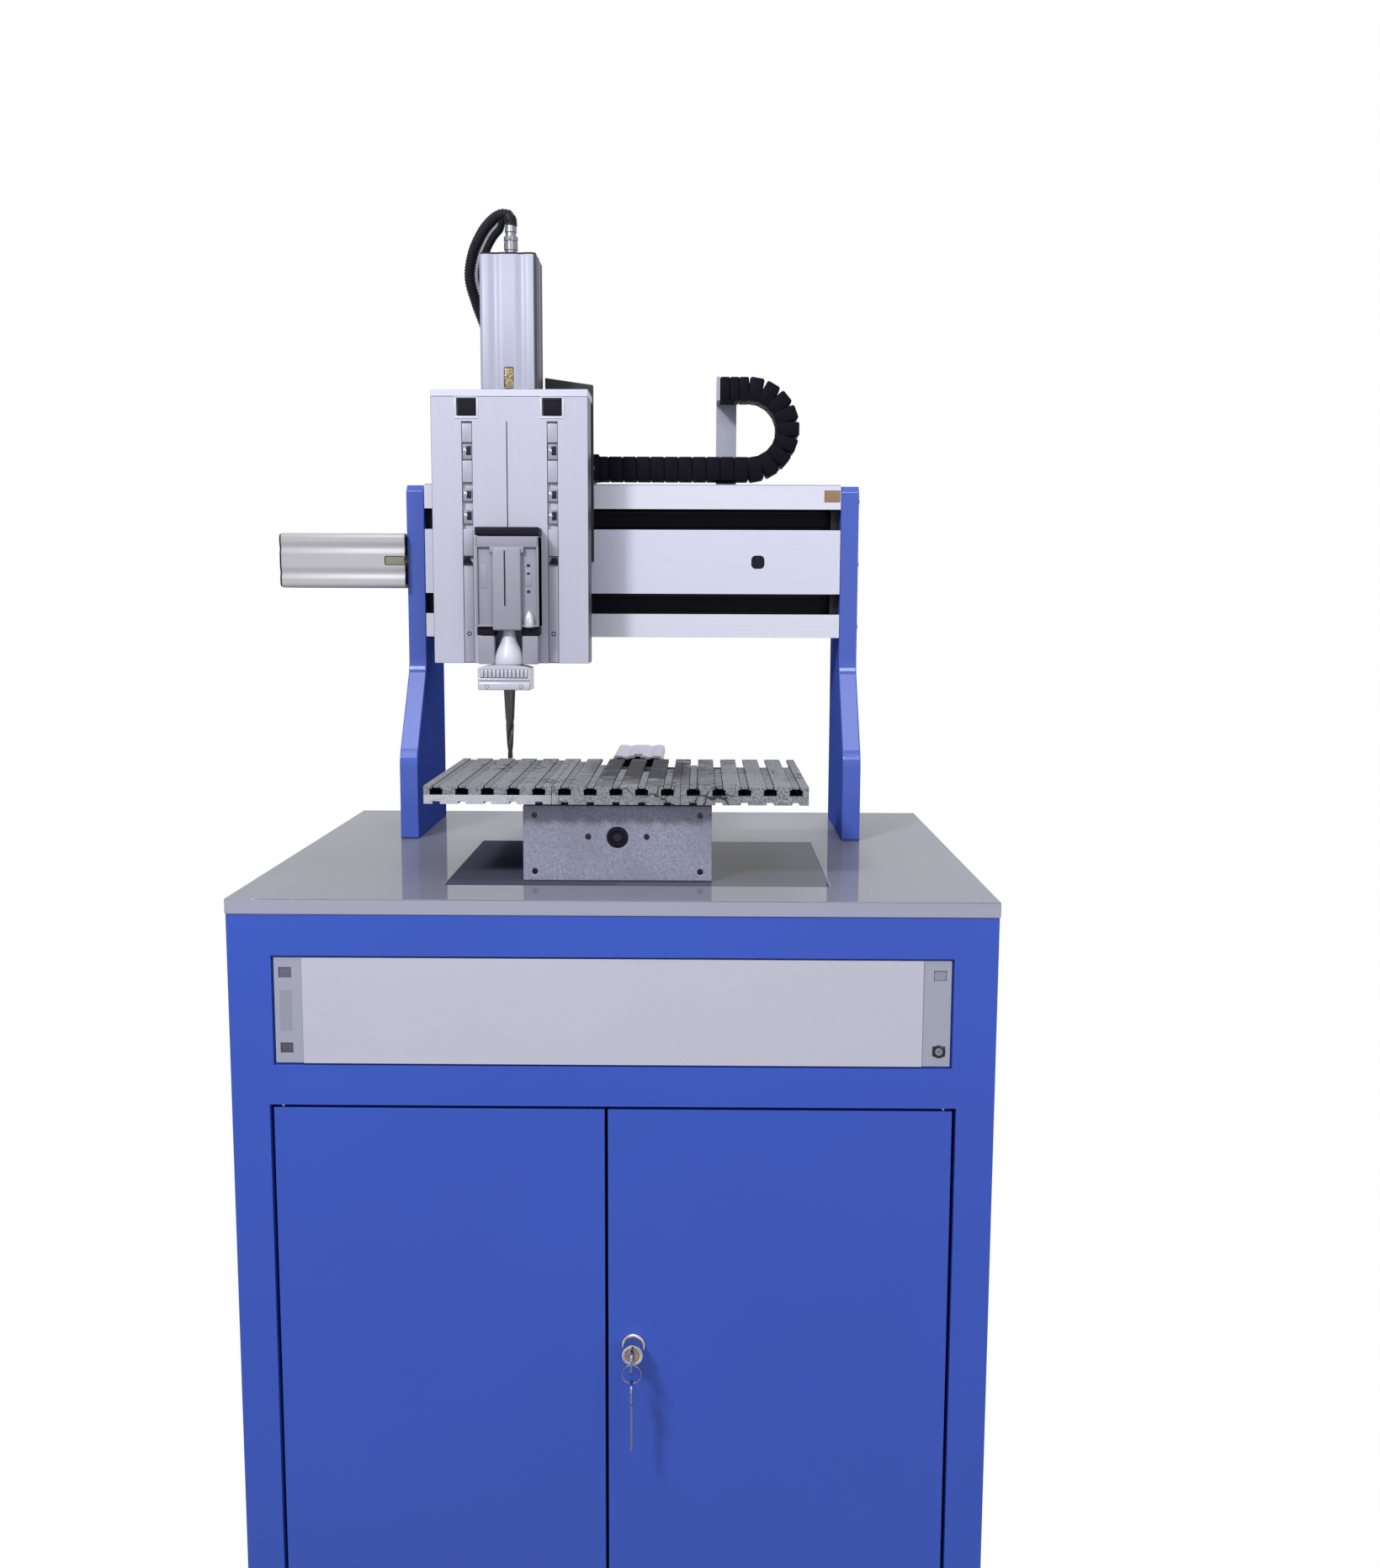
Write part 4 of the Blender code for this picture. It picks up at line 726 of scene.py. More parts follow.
def piece(name, shapes, finish, body, replaces=(), smooth=35):
    """One painted object that rides on a body. A body of None leaves it to be placed by the caller."""
    points, faces = joined(shapes)
    mesh = bpy.data.meshes.new(name)
    mesh.from_pydata(points.tolist(), [], faces)
    turn_outwards(mesh)
    mesh.shade_smooth()
    mesh.set_sharp_from_angle(angle=np.radians(smooth))
    mesh.materials.append(finish.material)
    made = bpy.data.objects.new(name, mesh)
    scene.collection.objects.link(made)
    if body:
        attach(made, body)
    if replaces:
        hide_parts(*replaces)
    return made


# %% [markdown]
# ## The CAD pieces' finishes
# Most CAD pieces have their final shape. Each gets its finish, and edges that are folded, sawn or
# moulded get the small rounding that catches the light, with a Bevel modifier after a Weld.


# %% Paint and soften the CAD pieces
def paint(finish, *nodes, edge=0.0, segments=2):
    """Give CAD pieces their finish, and edges over 40 degrees a rounding if they need one."""
    for name in nodes:
        node = frame["nodes"][name]
        node.data.materials.clear()
        node.data.materials.append(finish.material)
        if edge:
            weld = node.modifiers.new("weld", "WELD")
            weld.merge_threshold = 0.00001
            soft = node.modifiers.new("soft_edges", "BEVEL")
            soft.width = edge
            soft.segments = segments
            soft.limit_method = "ANGLE"
            soft.angle_limit = np.radians(40)
            soft.harden_normals = True
            soft.use_clamp_overlap = True


paint(cabinet_blue, "cabinet_shell", edge=0.0008)
paint(cabinet_blue, "door_left", "door_right", edge=0.0014, segments=3)
paint(gantry_blue, "gantry_left", "gantry_right", edge=0.0015, segments=3)
paint(worktop_gloss, "worktop", edge=0.0012, segments=3)
paint(base_sheet_gloss, "base_sheet")
paint(label_lacquer, "label_plate")
paint(panel_lacquer, "rack_panel", "controller_case", "chain_tray", "chain_bracket", edge=0.0003)
paint(beam_skin, "x_beam", edge=0.0006)
paint(cover_white, "x_cover", edge=0.0005)
paint(y_skin, "y_profile", edge=0.0006)
paint(head_skin, "z_profile", edge=0.0009)
paint(slider_skin, "x_slider", edge=0.0006)
paint(flat_skin, "y_slider", "z_slider", edge=0.0006)
paint(flat_skin, "z_top_plate", edge=0.0006)
paint(plate_cast, "y_front_plate", edge=0.0012, segments=3)
paint(table_cast, "table_plank_1", "table_plank_2", "table_plank_3", edge=0.0005)
paint(spindle_grey, "spindle_cover", "spindle_body")
paint(clamp_silver, "tool_clamp")
# Painted shade: the X rails are near black, as the beam's channel shades them.
paint(black_plastic_and_rail_shade, "x_rail_upper", "x_rail_lower")
# Painted shade: the Y and Z rails and the spindle's shaft are near black.
paint(rail_steel, "y_rail_left", "y_rail_right")
paint(rail_steel, "z_rail_left", "z_rail_right", "spindle_shaft")
paint(pin_steel, "pivot_left_low", "pivot_left_high", "pivot_right_low", "pivot_right_high")
paint(screw_steel, "x_screw", "y_screw", "z_screw")
paint(cutter_steel, "cutter")
paint(brass, "x_coupling", "y_coupling", "z_coupling", edge=0.0006)
paint(lock_bronze, "lock_plug", edge=0.0006)
paint(motor_black, "x_motor", "y_motor", "z_motor", edge=0.002)
paint(nickel, "z_connector")
paint(nickel, "lock_barrel", edge=0.0008)
# The keys' dark blue is painted reflection and shade.
paint(key_plate, "key", "spare_key", edge=0.0003)
paint(conduit_black, "z_lead")
paint(chain_black, "chain_lower", "chain_bend", "chain_upper", edge=0.0006)
paint(x_skin, "x_motor_cover")
paint(z_skin, "z_motor_cover")
paint(y_skin, "y_motor_cover")
print(len(frame["nodes"]), "CAD pieces painted")

# %% [markdown]
# ## Motor covers
# Each axis has its motor under an aluminium extrusion of 64 mm square. A flat rib runs down the middle
# of each side with a shallow hollow to either side of it, and these hollows give the soft streaks of
# light and shade. It is a cup: the outline runs up inside, out over the rim and down outside. A window
# at the foot lets a hex key reach the coupling.

# %% Fluted cover
RIB, FLUTE_END, FLUTE_DEPTH = 0.0075, 0.0225, 0.0017
COVER_WALL, COVER_CORNER, CAP_THICKNESS = 0.003, 0.005, 0.002
WINDOW = (0.011, 0.024)
(cover_left, _, _), (cover_right, _, _) = corners("z_motor_cover")
cover_half = (cover_right - cover_left) / 2


def fluted_outline(half, inset):
    """One side at distance s from its middle lies at half - d sin^2(pi (|s| - a)/(b - a)), a < |s| < b."""
    s = np.linspace(COVER_CORNER - half, half - COVER_CORNER, 43)
    share = np.clip((np.abs(s) - RIB) / (FLUTE_END - RIB), 0, 1)
    hollow = FLUTE_DEPTH * np.sin(np.pi * share) ** 2
    flat = np.stack([half - inset - hollow, s * (half - inset) / half], 1)
    angle = np.linspace(0, np.pi / 2, 7)[1:-1]
    arc = np.stack([np.cos(angle), np.sin(angle)], 1) * (COVER_CORNER - inset / 2)
    one = np.concatenate([flat, arc + half - COVER_CORNER - inset / 2])
    turns = np.array([[[1, 0], [0, 1]], [[0, -1], [1, 0]], [[-1, 0], [0, -1]], [[0, 1], [-1, 0]]])
    return np.einsum("tij,nj->tni", turns, one).reshape(-1, 2)


def cup(at, along, length):
    """Rings of the cup: (distance along, inset) for the inside floor, the rim and the outside."""
    rings = [(length - COVER_WALL, COVER_WALL), (0, COVER_WALL), (0, 0.0004), (0.0004, 0)]
    rings += [(length - 0.0012, 0), (length - 0.0004, 0.0004), (length, 0.0012)]
    across, up, along = frame_across(along)
    outline = np.stack([fluted_outline(cover_half, inset) for _, inset in rings])
    flat = outline[..., :1] * across + outline[..., 1:] * up
    return skin_of(np.asarray(at) + flat + np.array(rings)[:, :1, None] * along)


print("covers", round(cover_half * 2000), "mm square")

# %% [markdown]
# The window is cut once by a Boolean, and the cutter is thrown away, so that the finished cover is plain
# mesh. The cap repeats the cover's outline a little smaller. A gauze closes each window from inside.


# %% Windows and caps
def cut_from(made, shapes):
    """Cut closed skins out of a piece, once, with a Boolean whose cutter is then thrown away."""
    points, faces = joined(shapes)
    mesh = bpy.data.meshes.new("cutter")
    mesh.from_pydata(points.tolist(), [], faces)
    tool = bpy.data.objects.new("cutter", mesh)
    scene.collection.objects.link(tool)
    turn_outwards(mesh)
    modifier = made.modifiers.new("window", "BOOLEAN")
    modifier.object = tool
    bpy.context.view_layer.update()
    graph = bpy.context.evaluated_depsgraph_get()
    cut_mesh = bpy.data.meshes.new_from_object(made.evaluated_get(graph))
    made.modifiers.clear()
    made.data = cut_mesh
    bpy.data.objects.remove(tool)
    cut_mesh.shade_smooth()
    cut_mesh.set_sharp_from_angle(angle=np.radians(35))


def motor_cover(axis, along, window_side, body, finish):
    """Cover, black end cap, and the window on one side at the foot."""
    low, high = corners(f"{axis}_motor_cover")
    middle, along = (low + high) / 2, np.asarray(along, float)
    length = abs((high - low) @ along)
    foot = middle - along * length / 2
    made = piece(
        f"{axis}_fluted_cover",
        [cup(foot, along, length - CAP_THICKNESS)],
        finish,
        body,
        [f"{axis}_motor_cover"],
    )
    side = np.asarray(window_side, float)
    reach = np.abs(np.cross(along, side)) * WINDOW[0] / 2
    centre = foot + side * cover_half + along * WINDOW[1] / 2
    span = np.abs(along) * WINDOW[1] / 2 + reach + np.abs(side) * 2 * COVER_WALL
    cut_from(made, [block(centre - span, centre + span, 0.002)])
    outline = np.stack([fluted_outline(cover_half, i) for i in (0.0016, 0.001, 0.001, 0.002)])
    across, up, _ = frame_across(along)
    rise = np.array([0, 0.0002, CAP_THICKNESS - 0.0006, CAP_THICKNESS])[:, None, None] * along
    end = foot + along * (length - CAP_THICKNESS)
    cap = skin_of(end + outline[..., :1] * across + outline[..., 1:] * up + rise)
    piece(f"{axis}_cover_cap", [cap], plug_black, body)
    return centre


z_window = motor_cover("z", UP, FORWARD, "z_head", z_skin)
x_window = motor_cover("x", -RIGHT, FORWARD, "machine", x_skin)
y_window = motor_cover("y", BACK, UP, "machine", y_skin)
z_gauze = block(z_window + (-0.0050, 0.0008, -0.0112), z_window + (0.0050, 0.0016, 0.0112), 0.0004)
x_gauze = block(x_window + (-0.0112, 0.0012, -0.0050), x_window + (0.0112, 0.0020, 0.0050), 0.0004)
y_gauze = block(y_window + (-0.0050, -0.0112, -0.0016), y_window + (0.0050, 0.0112, -0.0008), 0.0004)
piece("z_window_gauze", [z_gauze], brass_gauze, "z_head")
piece("fixed_window_gauzes", [x_gauze, y_gauze], gauze_grey, "machine")
print("windows", *(1000 * side for side in WINDOW), "mm")

# %% [markdown]
# ## Screws
# Socket-head screws hold the machine together. Each is a turned head whose recess is pulled in to a
# hexagon: of twelve points round a ring, every second one lies at the flat's distance, cos 30 degrees.

# %% Socket screws
HEAD_PROFILE = np.array([(0, 0.9), (0, 1), (0.75, 1), (1, 0.88), (1, 0.55), (0.98, 0.5), (0.35, 0.5)])
HEX_FLAT = np.where(np.arange(12) % 2, np.cos(np.pi / 6), 1.0)


def cap_screw(at, towards, radius, height):
    """Rings of radius r(ring) times the hexagon factor for the last two rings, round the axis."""
    first, second, axis = frame_across(towards)
    rise, reach = (HEAD_PROFILE * (height, radius)).T
    six = np.where(np.arange(len(rise))[:, None] > 4, HEX_FLAT, 1.0)
    angle = np.arange(12) * np.pi / 6
    circle = np.outer(np.cos(angle), first) + np.outer(np.sin(angle), second)
    rings = (reach[:, None] * six)[..., None] * circle + rise[:, None, None] * axis
    return skin_of(np.asarray(at) + rings)


def screws(name, body, places, towards, radius, height, finish=None, slot="ground_steel"):
    """One piece that holds a screw head at each place."""
    heads = [cap_screw(place, towards, radius, height) for place in places]
    return piece(name, heads, finish or screw_steel, body)


PROUD = 0.0002
# Radius and height of the screws' heads.
SIDE_SCREW, PLATE_SCREW, TOP_SCREW = (0.0050, 0.0022), (0.0030, 0.0006), (0.0040, 0.0006)
beam_y = [beam_low[1] + share * (beam_high[1] - beam_low[1]) for share in (0.28, 0.78)]
beam_z = [beam_middle + offset for offset in (-0.074, 0, 0.074)]
for hand, outward in (("left", -RIGHT), ("right", RIGHT)):
    # The left plate has no screws at the beam's middle, where the X motor's cover stands.
    wanted = [z for z in beam_z if z != beam_middle or hand == "right"]
    places = [(outward[0] * gantry_high[0], y, z) for y in beam_y for z in wanted]
    screws(f"{hand}_plate_screws", "machine", places, outward, *SIDE_SCREW)
plate_low, plate_high = corners("y_front_plate")
plate_middle = (plate_low[2] + plate_high[2]) / 2
places = [(x, plate_low[1], plate_middle + z) for x in (-0.082, 0.082) for z in (-0.028, 0.028)]
places += [(x, plate_low[1], plate_high[2] - 0.031) for x in (-0.029, 0.029)]
screws("front_plate_screws", "machine", places, FORWARD, *PLATE_SCREW, rail_steel)
places = [(head_x + x, y, corners("z_top_plate")[1][2]) for x in (-0.076, 0.076) for y in (0.060, 0.090)]
screws("top_plate_screws", "z_head", places, UP, *TOP_SCREW)
print("screws on the side plates, the front plate and the head's top plate")

# %% [markdown]
# ## The head's front
# The head is an extrusion with two T-slots. At the top of each slot is a square black stop in a bevelled
# frame, and below it three T-nuts sit in the slot, each a dark block with its screw. A shallow line is
# scribed down the middle, and small wedges lock the slots' covers. They all move with the head.

# %% Head front
SLOT_OFFSET = 0.048
NUTS = ((0.442, 0.0085), (0.394, 0.0070), (0.370, 0.0080))  # height above the worktop, half length
SLOT_COVERS = ((0.2060, 0.3150), (0.3260, 0.3560), (0.4080, 0.4320), (0.4520, 0.4730))
COVER_SCREW, WEDGE = 0.2385, 0.3205
WEDGE_OUTLINE = np.array([(-0.0052, -0.0035), (0.0052, -0.0035), (0.0040, 0.0030), (0.0, 0.0042)])
head_front = head_low[1]


def sunk(near, far):
    """Range of depths behind the head's front face."""
    return head_front + near, head_front + far


def over_top(foot, top):
    """Range of heights over the worktop."""
    return board_top + foot, board_top + top


def stop_and_frame(x):
    """The square stop, and the four bars of the frame round it."""
    top, foot = head_high[2] - 0.0012, head_high[2] - 0.0212
    bars = (
        (around(x, 0.0136), (foot - 0.0026, foot)),
        (around(x, 0.0136), (top, top + 0.0012)),
        ((x - 0.0136, x - 0.0113), (foot, top)),
        ((x + 0.0113, x + 0.0136), (foot, top)),
    )
    stop = brick(around(x, 0.0100), sunk(0.0024, 0.0049), (foot + 0.001, top - 0.001))
    return stop, [brick(wide, sunk(-0.0007, 0.0006), tall, 0.0004) for wide, tall in bars]


def slot_nut(x, z, half):
    """A T-nut, a dark mark painted as the shade of the slot in it, and its screw."""
    nut = brick(around(x, 0.0054), sunk(0.0022, 0.0055), around(z, half))
    # Painted shade: a dark mark stands for the slot in the nut.
    mark = brick((x - 0.0012, x + 0.0044), sunk(0.0018, 0.0040), (z - 0.0040, z + half - 0.0022))
    return nut, mark, cap_screw((x - 0.0026, head_front + 0.0022, z + 0.0010), FORWARD, 0.0020, 0.0006)


print("slots", round(SLOT_OFFSET * 2000), "mm apart")

# %% [markdown]
# One loop fills both slots, the left one first. Each kind of small part becomes one piece, because all
# of them move together and share one finish.

# %% Filled slots
stops, frames, nuts, marks, nut_screws, wedges, slot_covers = ([] for _ in range(7))
for hand in (-1, 1):
    x = head_x + hand * SLOT_OFFSET
    stop, bars = stop_and_frame(x)
    stops.append(stop)
    frames += bars
    for height, half in NUTS:
        nut, mark, screw = slot_nut(x, board_top + height, half)
        nuts.append(nut)
        marks.append(mark)
        nut_screws.append(screw)
    cover_screw_place = (x, head_front + 0.0045, board_top + COVER_SCREW)
    nut_screws.append(cap_screw(cover_screw_place, FORWARD, 0.0030, 0.0035))
    wedge_place = (x, head_front + 0.004, board_top + WEDGE)
    wedges.append(extruded(WEDGE_OUTLINE * (hand, 1), wedge_place, RIGHT, UP, FORWARD, 0.0055))
    for span in SLOT_COVERS:
        slot_covers.append(brick(around(x, 0.0056), sunk(0.0010, 0.0056), over_top(*span)))
line = brick(around(head_x - 0.003, 0.0006), sunk(-PROUD, 0.001), over_top(0.3575, 0.475), 0.0002)
for name, shapes, finish, slot in (
    ("head_stops", stops, black_plastic_and_rail_shade, "black_plastic"),
    ("head_frames", frames, nose_white, "anodised"),
    ("head_nuts", nuts, spindle_grey, "anodised"),
    ("nut_slots", marks, rail_steel, "dark_steel"),
    ("head_nut_screws", nut_screws, screw_steel, "ground_steel"),
    ("head_wedges", wedges, plug_black, "black_plastic"),
    ("slot_covers", slot_covers, strip_skin, "anodised"),
    ("head_centre_line", [line], rail_steel, "dark_steel"),
):
    piece(name, shapes, finish, "z_head")
print("head front:", len(nuts), "nuts and", len(slot_covers), "slot covers")

# %% [markdown]
# ## Spindle cover
# The spindle sits in a folded cover with a raised spine and a slot down its middle; the slot is a dark strip
# of painted shade. A black band of painted shadow lies on the cover's top, between it and the head. The
# cover has two sunk side panels with small ports for its plugs, and its darker grey is partly painted shade.
# The folds are a few thin blocks that overlap, because only their outer faces are seen.

# %% Spindle cover
SPINE_HALF, RIM_HEIGHT, FOLD = 0.0160, 0.0125, 0.0022
(hood_left, spine_front, hood_foot), (hood_right, hood_back, hood_top) = corners("spindle_cover")
shell_front = spine_front + 0.005
panel_front = shell_front + 0.0035
rim_foot = hood_top - RIM_HEIGHT
hood_wide, hood_tall, shell_deep = (hood_left, hood_right), (hood_foot, hood_top), (shell_front, hood_back)
shell = [
    brick(hood_wide, (panel_front, hood_back), hood_tall, 0.0008),
    brick(hood_wide, shell_deep, (rim_foot, hood_top), 0.0010),
    brick((hood_left, hood_left + FOLD), shell_deep, hood_tall, 0.0007),
    brick((hood_right - FOLD, hood_right), shell_deep, hood_tall, 0.0007),
    brick(hood_wide, shell_deep, (hood_foot, hood_foot + FOLD), 0.0006),
]
spine_wide, step_wide = around(head_x, SPINE_HALF), around(head_x, SPINE_HALF + 0.003)
spine = [
    brick(spine_wide, (spine_front, panel_front + 0.002), (hood_foot - 0.004, rim_foot), 0.0022),
    brick(step_wide, (spine_front + 0.0022, panel_front), (rim_foot - 0.006, rim_foot + 0.001), 0.001),
]
slot_deep = (spine_front - PROUD, spine_front + 0.001)
# Painted shade: a dark strip stands for the slot down the spine.
spine_slot = brick(around(head_x - 0.002, 0.0009), slot_deep, over_top(0.270, 0.331), 0.0003)
# Painted shadow: a black band on the cover's top, between it and the head.
band_wide, band_tall = (hood_left - 0.0004, hood_right + 0.0004), (hood_top + 0.0008, hood_top + 0.0100)
shadow_band = brick(band_wide, (shell_front - 0.0012, hood_back), band_tall, 0.0012)
# The shell's darker grey is partly painted shade.
piece("spindle_shell", shell, spindle_grey, "z_head", ["spindle_cover"])
piece("spindle_spine", spine, spindle_spine, "z_head")
piece("spine_slot", [spine_slot], rail_steel, "z_head")
piece("spindle_shadow_band", [shadow_band], plug_black, "z_head")
print("spindle cover", round((hood_right - hood_left) * 1000), "mm wide")

# %% [markdown]
# On the right panel a raised plate carries three dark squares, painted shade for square holes, with a bright
# bullet-shaped fitting below them. The left panel has one plain plate.

# %% Spindle ports
# Height and radius along the fitting.
BULLET = [(0, 0.0058), (0.0012, 0.0062), (0.010, 0.0060)]
BULLET += [(0.014, 0.0048), (0.0175, 0.0026), (0.0190, 0.0006)]
port_x = head_x + 0.0235
right_deep = (panel_front - 0.0006, panel_front + 0.001)
left_deep = (panel_front - 0.0004, panel_front + 0.001)
ports = [
    brick(around(port_x, 0.0040), right_deep, over_top(0.2920, 0.3110), 0.0008),
    brick((head_x - 0.0300, head_x - 0.0225), left_deep, over_top(0.2890, 0.3160), 0.0008),
]
# Painted shade: dark squares stand for the holes.
port_holes = [
    brick(around(port_x, 0.0018), (panel_front - 0.0007, panel_front), around(z, 0.0014), 0.0003)
    for z in board_top + np.array([0.3150, 0.3060, 0.2860])
]
bullet_place = (port_x + 0.0005, panel_front - 0.0012, board_top + 0.2465)
piece("spindle_ports", ports, spindle_spine, "z_head")
piece("port_holes", port_holes, rail_steel, "z_head")
piece("spindle_fitting", [turned(BULLET, bullet_place, UP, 20)], clamp_silver, "z_head")
print(len(port_holes), "port holes")

# %% [markdown]
# ## Nose
# Below the cover the white nose, a turned part paler than the head as painted light, widens down to the
# clamp. A plain cheek stands to each side of it, under a black block that paints the shade of the gap which
# parts the cheek from the cover.

# %% Nose and cheeks
(_, clamp_front, clamp_foot), (_, clamp_back, clamp_top) = clamp_low, clamp_high = corners("tool_clamp")
clamp_x, tool_y, _ = (clamp_low + clamp_high) / 2
nose_height = hood_foot - clamp_top
gap_deep, gap_tall = (panel_front + 0.0012, hood_back - 0.004), (hood_foot - 0.0095, hood_foot - 0.0004)
cheek_deep, cheek_tall = (panel_front + 0.0015, hood_back - 0.002), (clamp_top + 0.0005, hood_foot - 0.010)
# Painted shade: black blocks stand for the gaps under the cover.
gaps = [brick(around(head_x + hand * 0.0250, 0.0098), gap_deep, gap_tall) for hand in (-1, 1)]
cheeks = [brick(around(head_x + hand * 0.0245, 0.0090), cheek_deep, cheek_tall, 0.0015) for hand in (-1, 1)]
nose = [(0.0003, 0.0160), (0.002, 0.0166), (nose_height * 0.22, 0.0158), (nose_height * 0.42, 0.0128)]
nose += [(nose_height * 0.60, 0.0090), (nose_height * 0.78, 0.0072), (nose_height + 0.004, 0.0066)]
nose_skin = turned(nose, (head_x, tool_y, clamp_top), UP, 40)
piece("spindle_gaps", gaps, plug_black, "z_head")
piece("spindle_cheeks", cheeks, spindle_spine, "z_head")
# The nose is pale partly as painted light.
piece("spindle_nose", [nose_skin], nose_white, "z_head", ["spindle_body"])
print("nose", round(nose_height * 1000), "mm high")

# %% [markdown]
# ## Tool clamp
# The clamp is a milled block whose top falls off towards its ends with the third power of the distance from
# its middle. A row of teeth stands along its front on a darker grey strip, painted shade for the recess they
# stand in, over a ledge with two screws.

# %% Tool clamp
CLAMP_ARCH, TOOTH_COUNT, TOOTH_SPREAD = 0.0035, 12, 0.0245
clamp_half = (clamp_high[0] - clamp_low[0]) / 2 - 0.0005
share = np.linspace(-1, 1, 25)
arched = np.stack([share * clamp_half, -CLAMP_ARCH * np.abs(share) ** 3], 1)
level = np.stack([-share * clamp_half, np.full(25, clamp_foot - clamp_top)], 1)
clamp_place, clamp_depth = (clamp_x, clamp_back - 0.001, clamp_top), clamp_back - clamp_front - 0.004
clamp_skin = extruded(np.concatenate([arched, level]), clamp_place, RIGHT, UP, FORWARD, clamp_depth)
face = clamp_front + 0.003
tooth_deep, tooth_tall = (clamp_front + 0.0008, face + 0.001), (clamp_top - 0.0140, clamp_top - 0.0055)
teeth = [
    brick(around(clamp_x + x, 0.0014), tooth_deep, tooth_tall, 0.0006)
    for x in np.linspace(-TOOTH_SPREAD, TOOTH_SPREAD, TOOTH_COUNT)
]
ledge_wide, recess_wide = around(clamp_x, clamp_half - 0.001), around(clamp_x, clamp_half - 0.003)
low_deep, high_deep = (clamp_front + 0.0006, face + 0.001), (clamp_front + 0.0010, face + 0.001)
ledges = [
    brick(ledge_wide, low_deep, (clamp_foot, clamp_foot + 0.0085), 0.0010),
    brick(ledge_wide, high_deep, (clamp_top - 0.0170, clamp_top - 0.0150), 0.0006),
]
recess_tall = (clamp_top - 0.0150, clamp_top - 0.0045)
# Painted shade: a darker grey strip stands for the recess.
recess = brick(recess_wide, (face - 0.0004, face + 0.0008), recess_tall, 0.0003)
piece("collet_clamp", [clamp_skin, *teeth, *ledges], clamp_silver, "z_head", ["tool_clamp"])
piece("clamp_recess", [recess], spindle_grey, "z_head")
places = [(clamp_x + x, clamp_front + 0.0012, clamp_foot + 0.0042) for x in (-0.019, 0.019)]
screws("clamp_screws", "z_head", places, FORWARD, 0.0028, 0.0012)
print("clamp", round(clamp_half * 2000), "mm wide with", TOOTH_COUNT, "teeth")

# %% [markdown]
# ## Cutter
# The cutter is a two-flute bit that tapers to its tip. Each ring's radius dips where a flute passes, and
# the dips turn as they go down. The plain shank above has none, and the flutes fade in below it.

# %% Cutter
FLUTES, TURNS, FLUTE_SHARE, TIP_RADIUS = 2, 2.2, 0.34, 0.0027


def cutter_skin(low, high):
    """Radius r(s) (1 - d f(s) max(0, cos(2a + 2 pi n s))^2) at angle a and share s of the length."""
    top_radius = (high[0] - low[0]) / 2
    along = np.linspace(0, 1, 90)[:, None]
    angle = np.arange(24) * np.pi / 12
    radius = top_radius + (TIP_RADIUS - top_radius) * along
    fade = np.clip((along - 0.42) / 0.12, 0, 1)
    wave = np.maximum(0, np.cos(FLUTES * angle[None] + 2 * np.pi * TURNS * along)) ** 2
    reach = radius * (1 - FLUTE_SHARE * fade * wave)
    circle = np.stack([np.cos(angle), np.sin(angle), 0 * angle], -1)
    drop = along[..., None] * (high[2] - low[2]) * UP
    return skin_of(reach[..., None] * circle - drop + (head_x, tool_y, high[2]))


piece("fluted_cutter", [cutter_skin(*corners("cutter"))], cutter_steel, "spindle", ["cutter"])
print("cutter with", FLUTES, "flutes")

# %% [markdown]
# ## Connector
# The Z motor's plug is an aviation connector in satin nickel, turned in rings, with a key on its front
# that lets it go in one way only.

# %% Connector
# Each ring's share of the height and of the radius.
RINGS = [(0, 0.80), (0, 0.98), (0.09, 1), (0.10, 0.84), (0.22, 0.84), (0.23, 0.98), (0.46, 0.98)]
RINGS += [(0.47, 0.88), (0.51, 0.88), (0.52, 1), (0.65, 1), (0.66, 0.78)]
RINGS += [(0.78, 0.74), (0.80, 0.86), (1, 0.80)]
plug_low, plug_high = corners("z_connector")
plug_radius = (plug_high[0] - plug_low[0]) / 2
plug_profile = np.array(RINGS) * (plug_high[2] - plug_low[2], plug_radius)
plug_place = np.array([(plug_low[0] + plug_high[0]) / 2, (plug_low[1] + plug_high[1]) / 2, plug_low[2]])
key = block(plug_place + (-0.0020, -0.0083, 0.018), plug_place + (0.0020, -0.0060, 0.026), 0.0006)
connector_skins = [turned(plug_profile, plug_place, UP, 28), key]
piece("aviation_connector", connector_skins, satin_nickel, "z_head", ["z_connector"])
print("connector", round(plug_radius * 2000, 1), "mm thick")

# %% [markdown]
# ## Motor lead
# A ribbed black conduit leaves the connector's top, arches over to the left and drops behind the head to
# the energy chain. Its route is a smooth curve through a few places, and points at equal distances
# along it carry the ribs. The curve passes through every place, so the lead starts and ends where the
# connector and the chain hold it.


# %% Lead's route
def smooth_route(points, each):
    """Catmull-Rom: b + ((c - a)t + (2a - 5b + 4c - d)t^2 + (3b - a - 3c + d)t^3) / 2 on each stretch."""
    points = np.concatenate([[2 * points[0] - points[1]], points, [2 * points[-1] - points[-2]]])
    a, b, c, d = (points[i : len(points) - 3 + i, None] for i in range(4))
    t = (np.arange(each) / each)[None, :, None]
    curve = b + ((c - a) * t + (2 * a - 5 * b + 4 * c - d) * t**2 + (3 * b - a - 3 * c + d) * t**3) / 2
    return np.concatenate([curve.reshape(-1, 3), points[-2:-1]])


def evenly(path, spacing):
    """The same route with points at equal distances along it."""
    run = np.r_[0, np.cumsum(np.linalg.norm(np.diff(path, axis=0), axis=1))]
    wanted = np.linspace(0, run[-1], int(run[-1] / spacing))
    return np.stack([np.interp(wanted, run, path[:, i]) for i in range(3)], 1), run[-1]


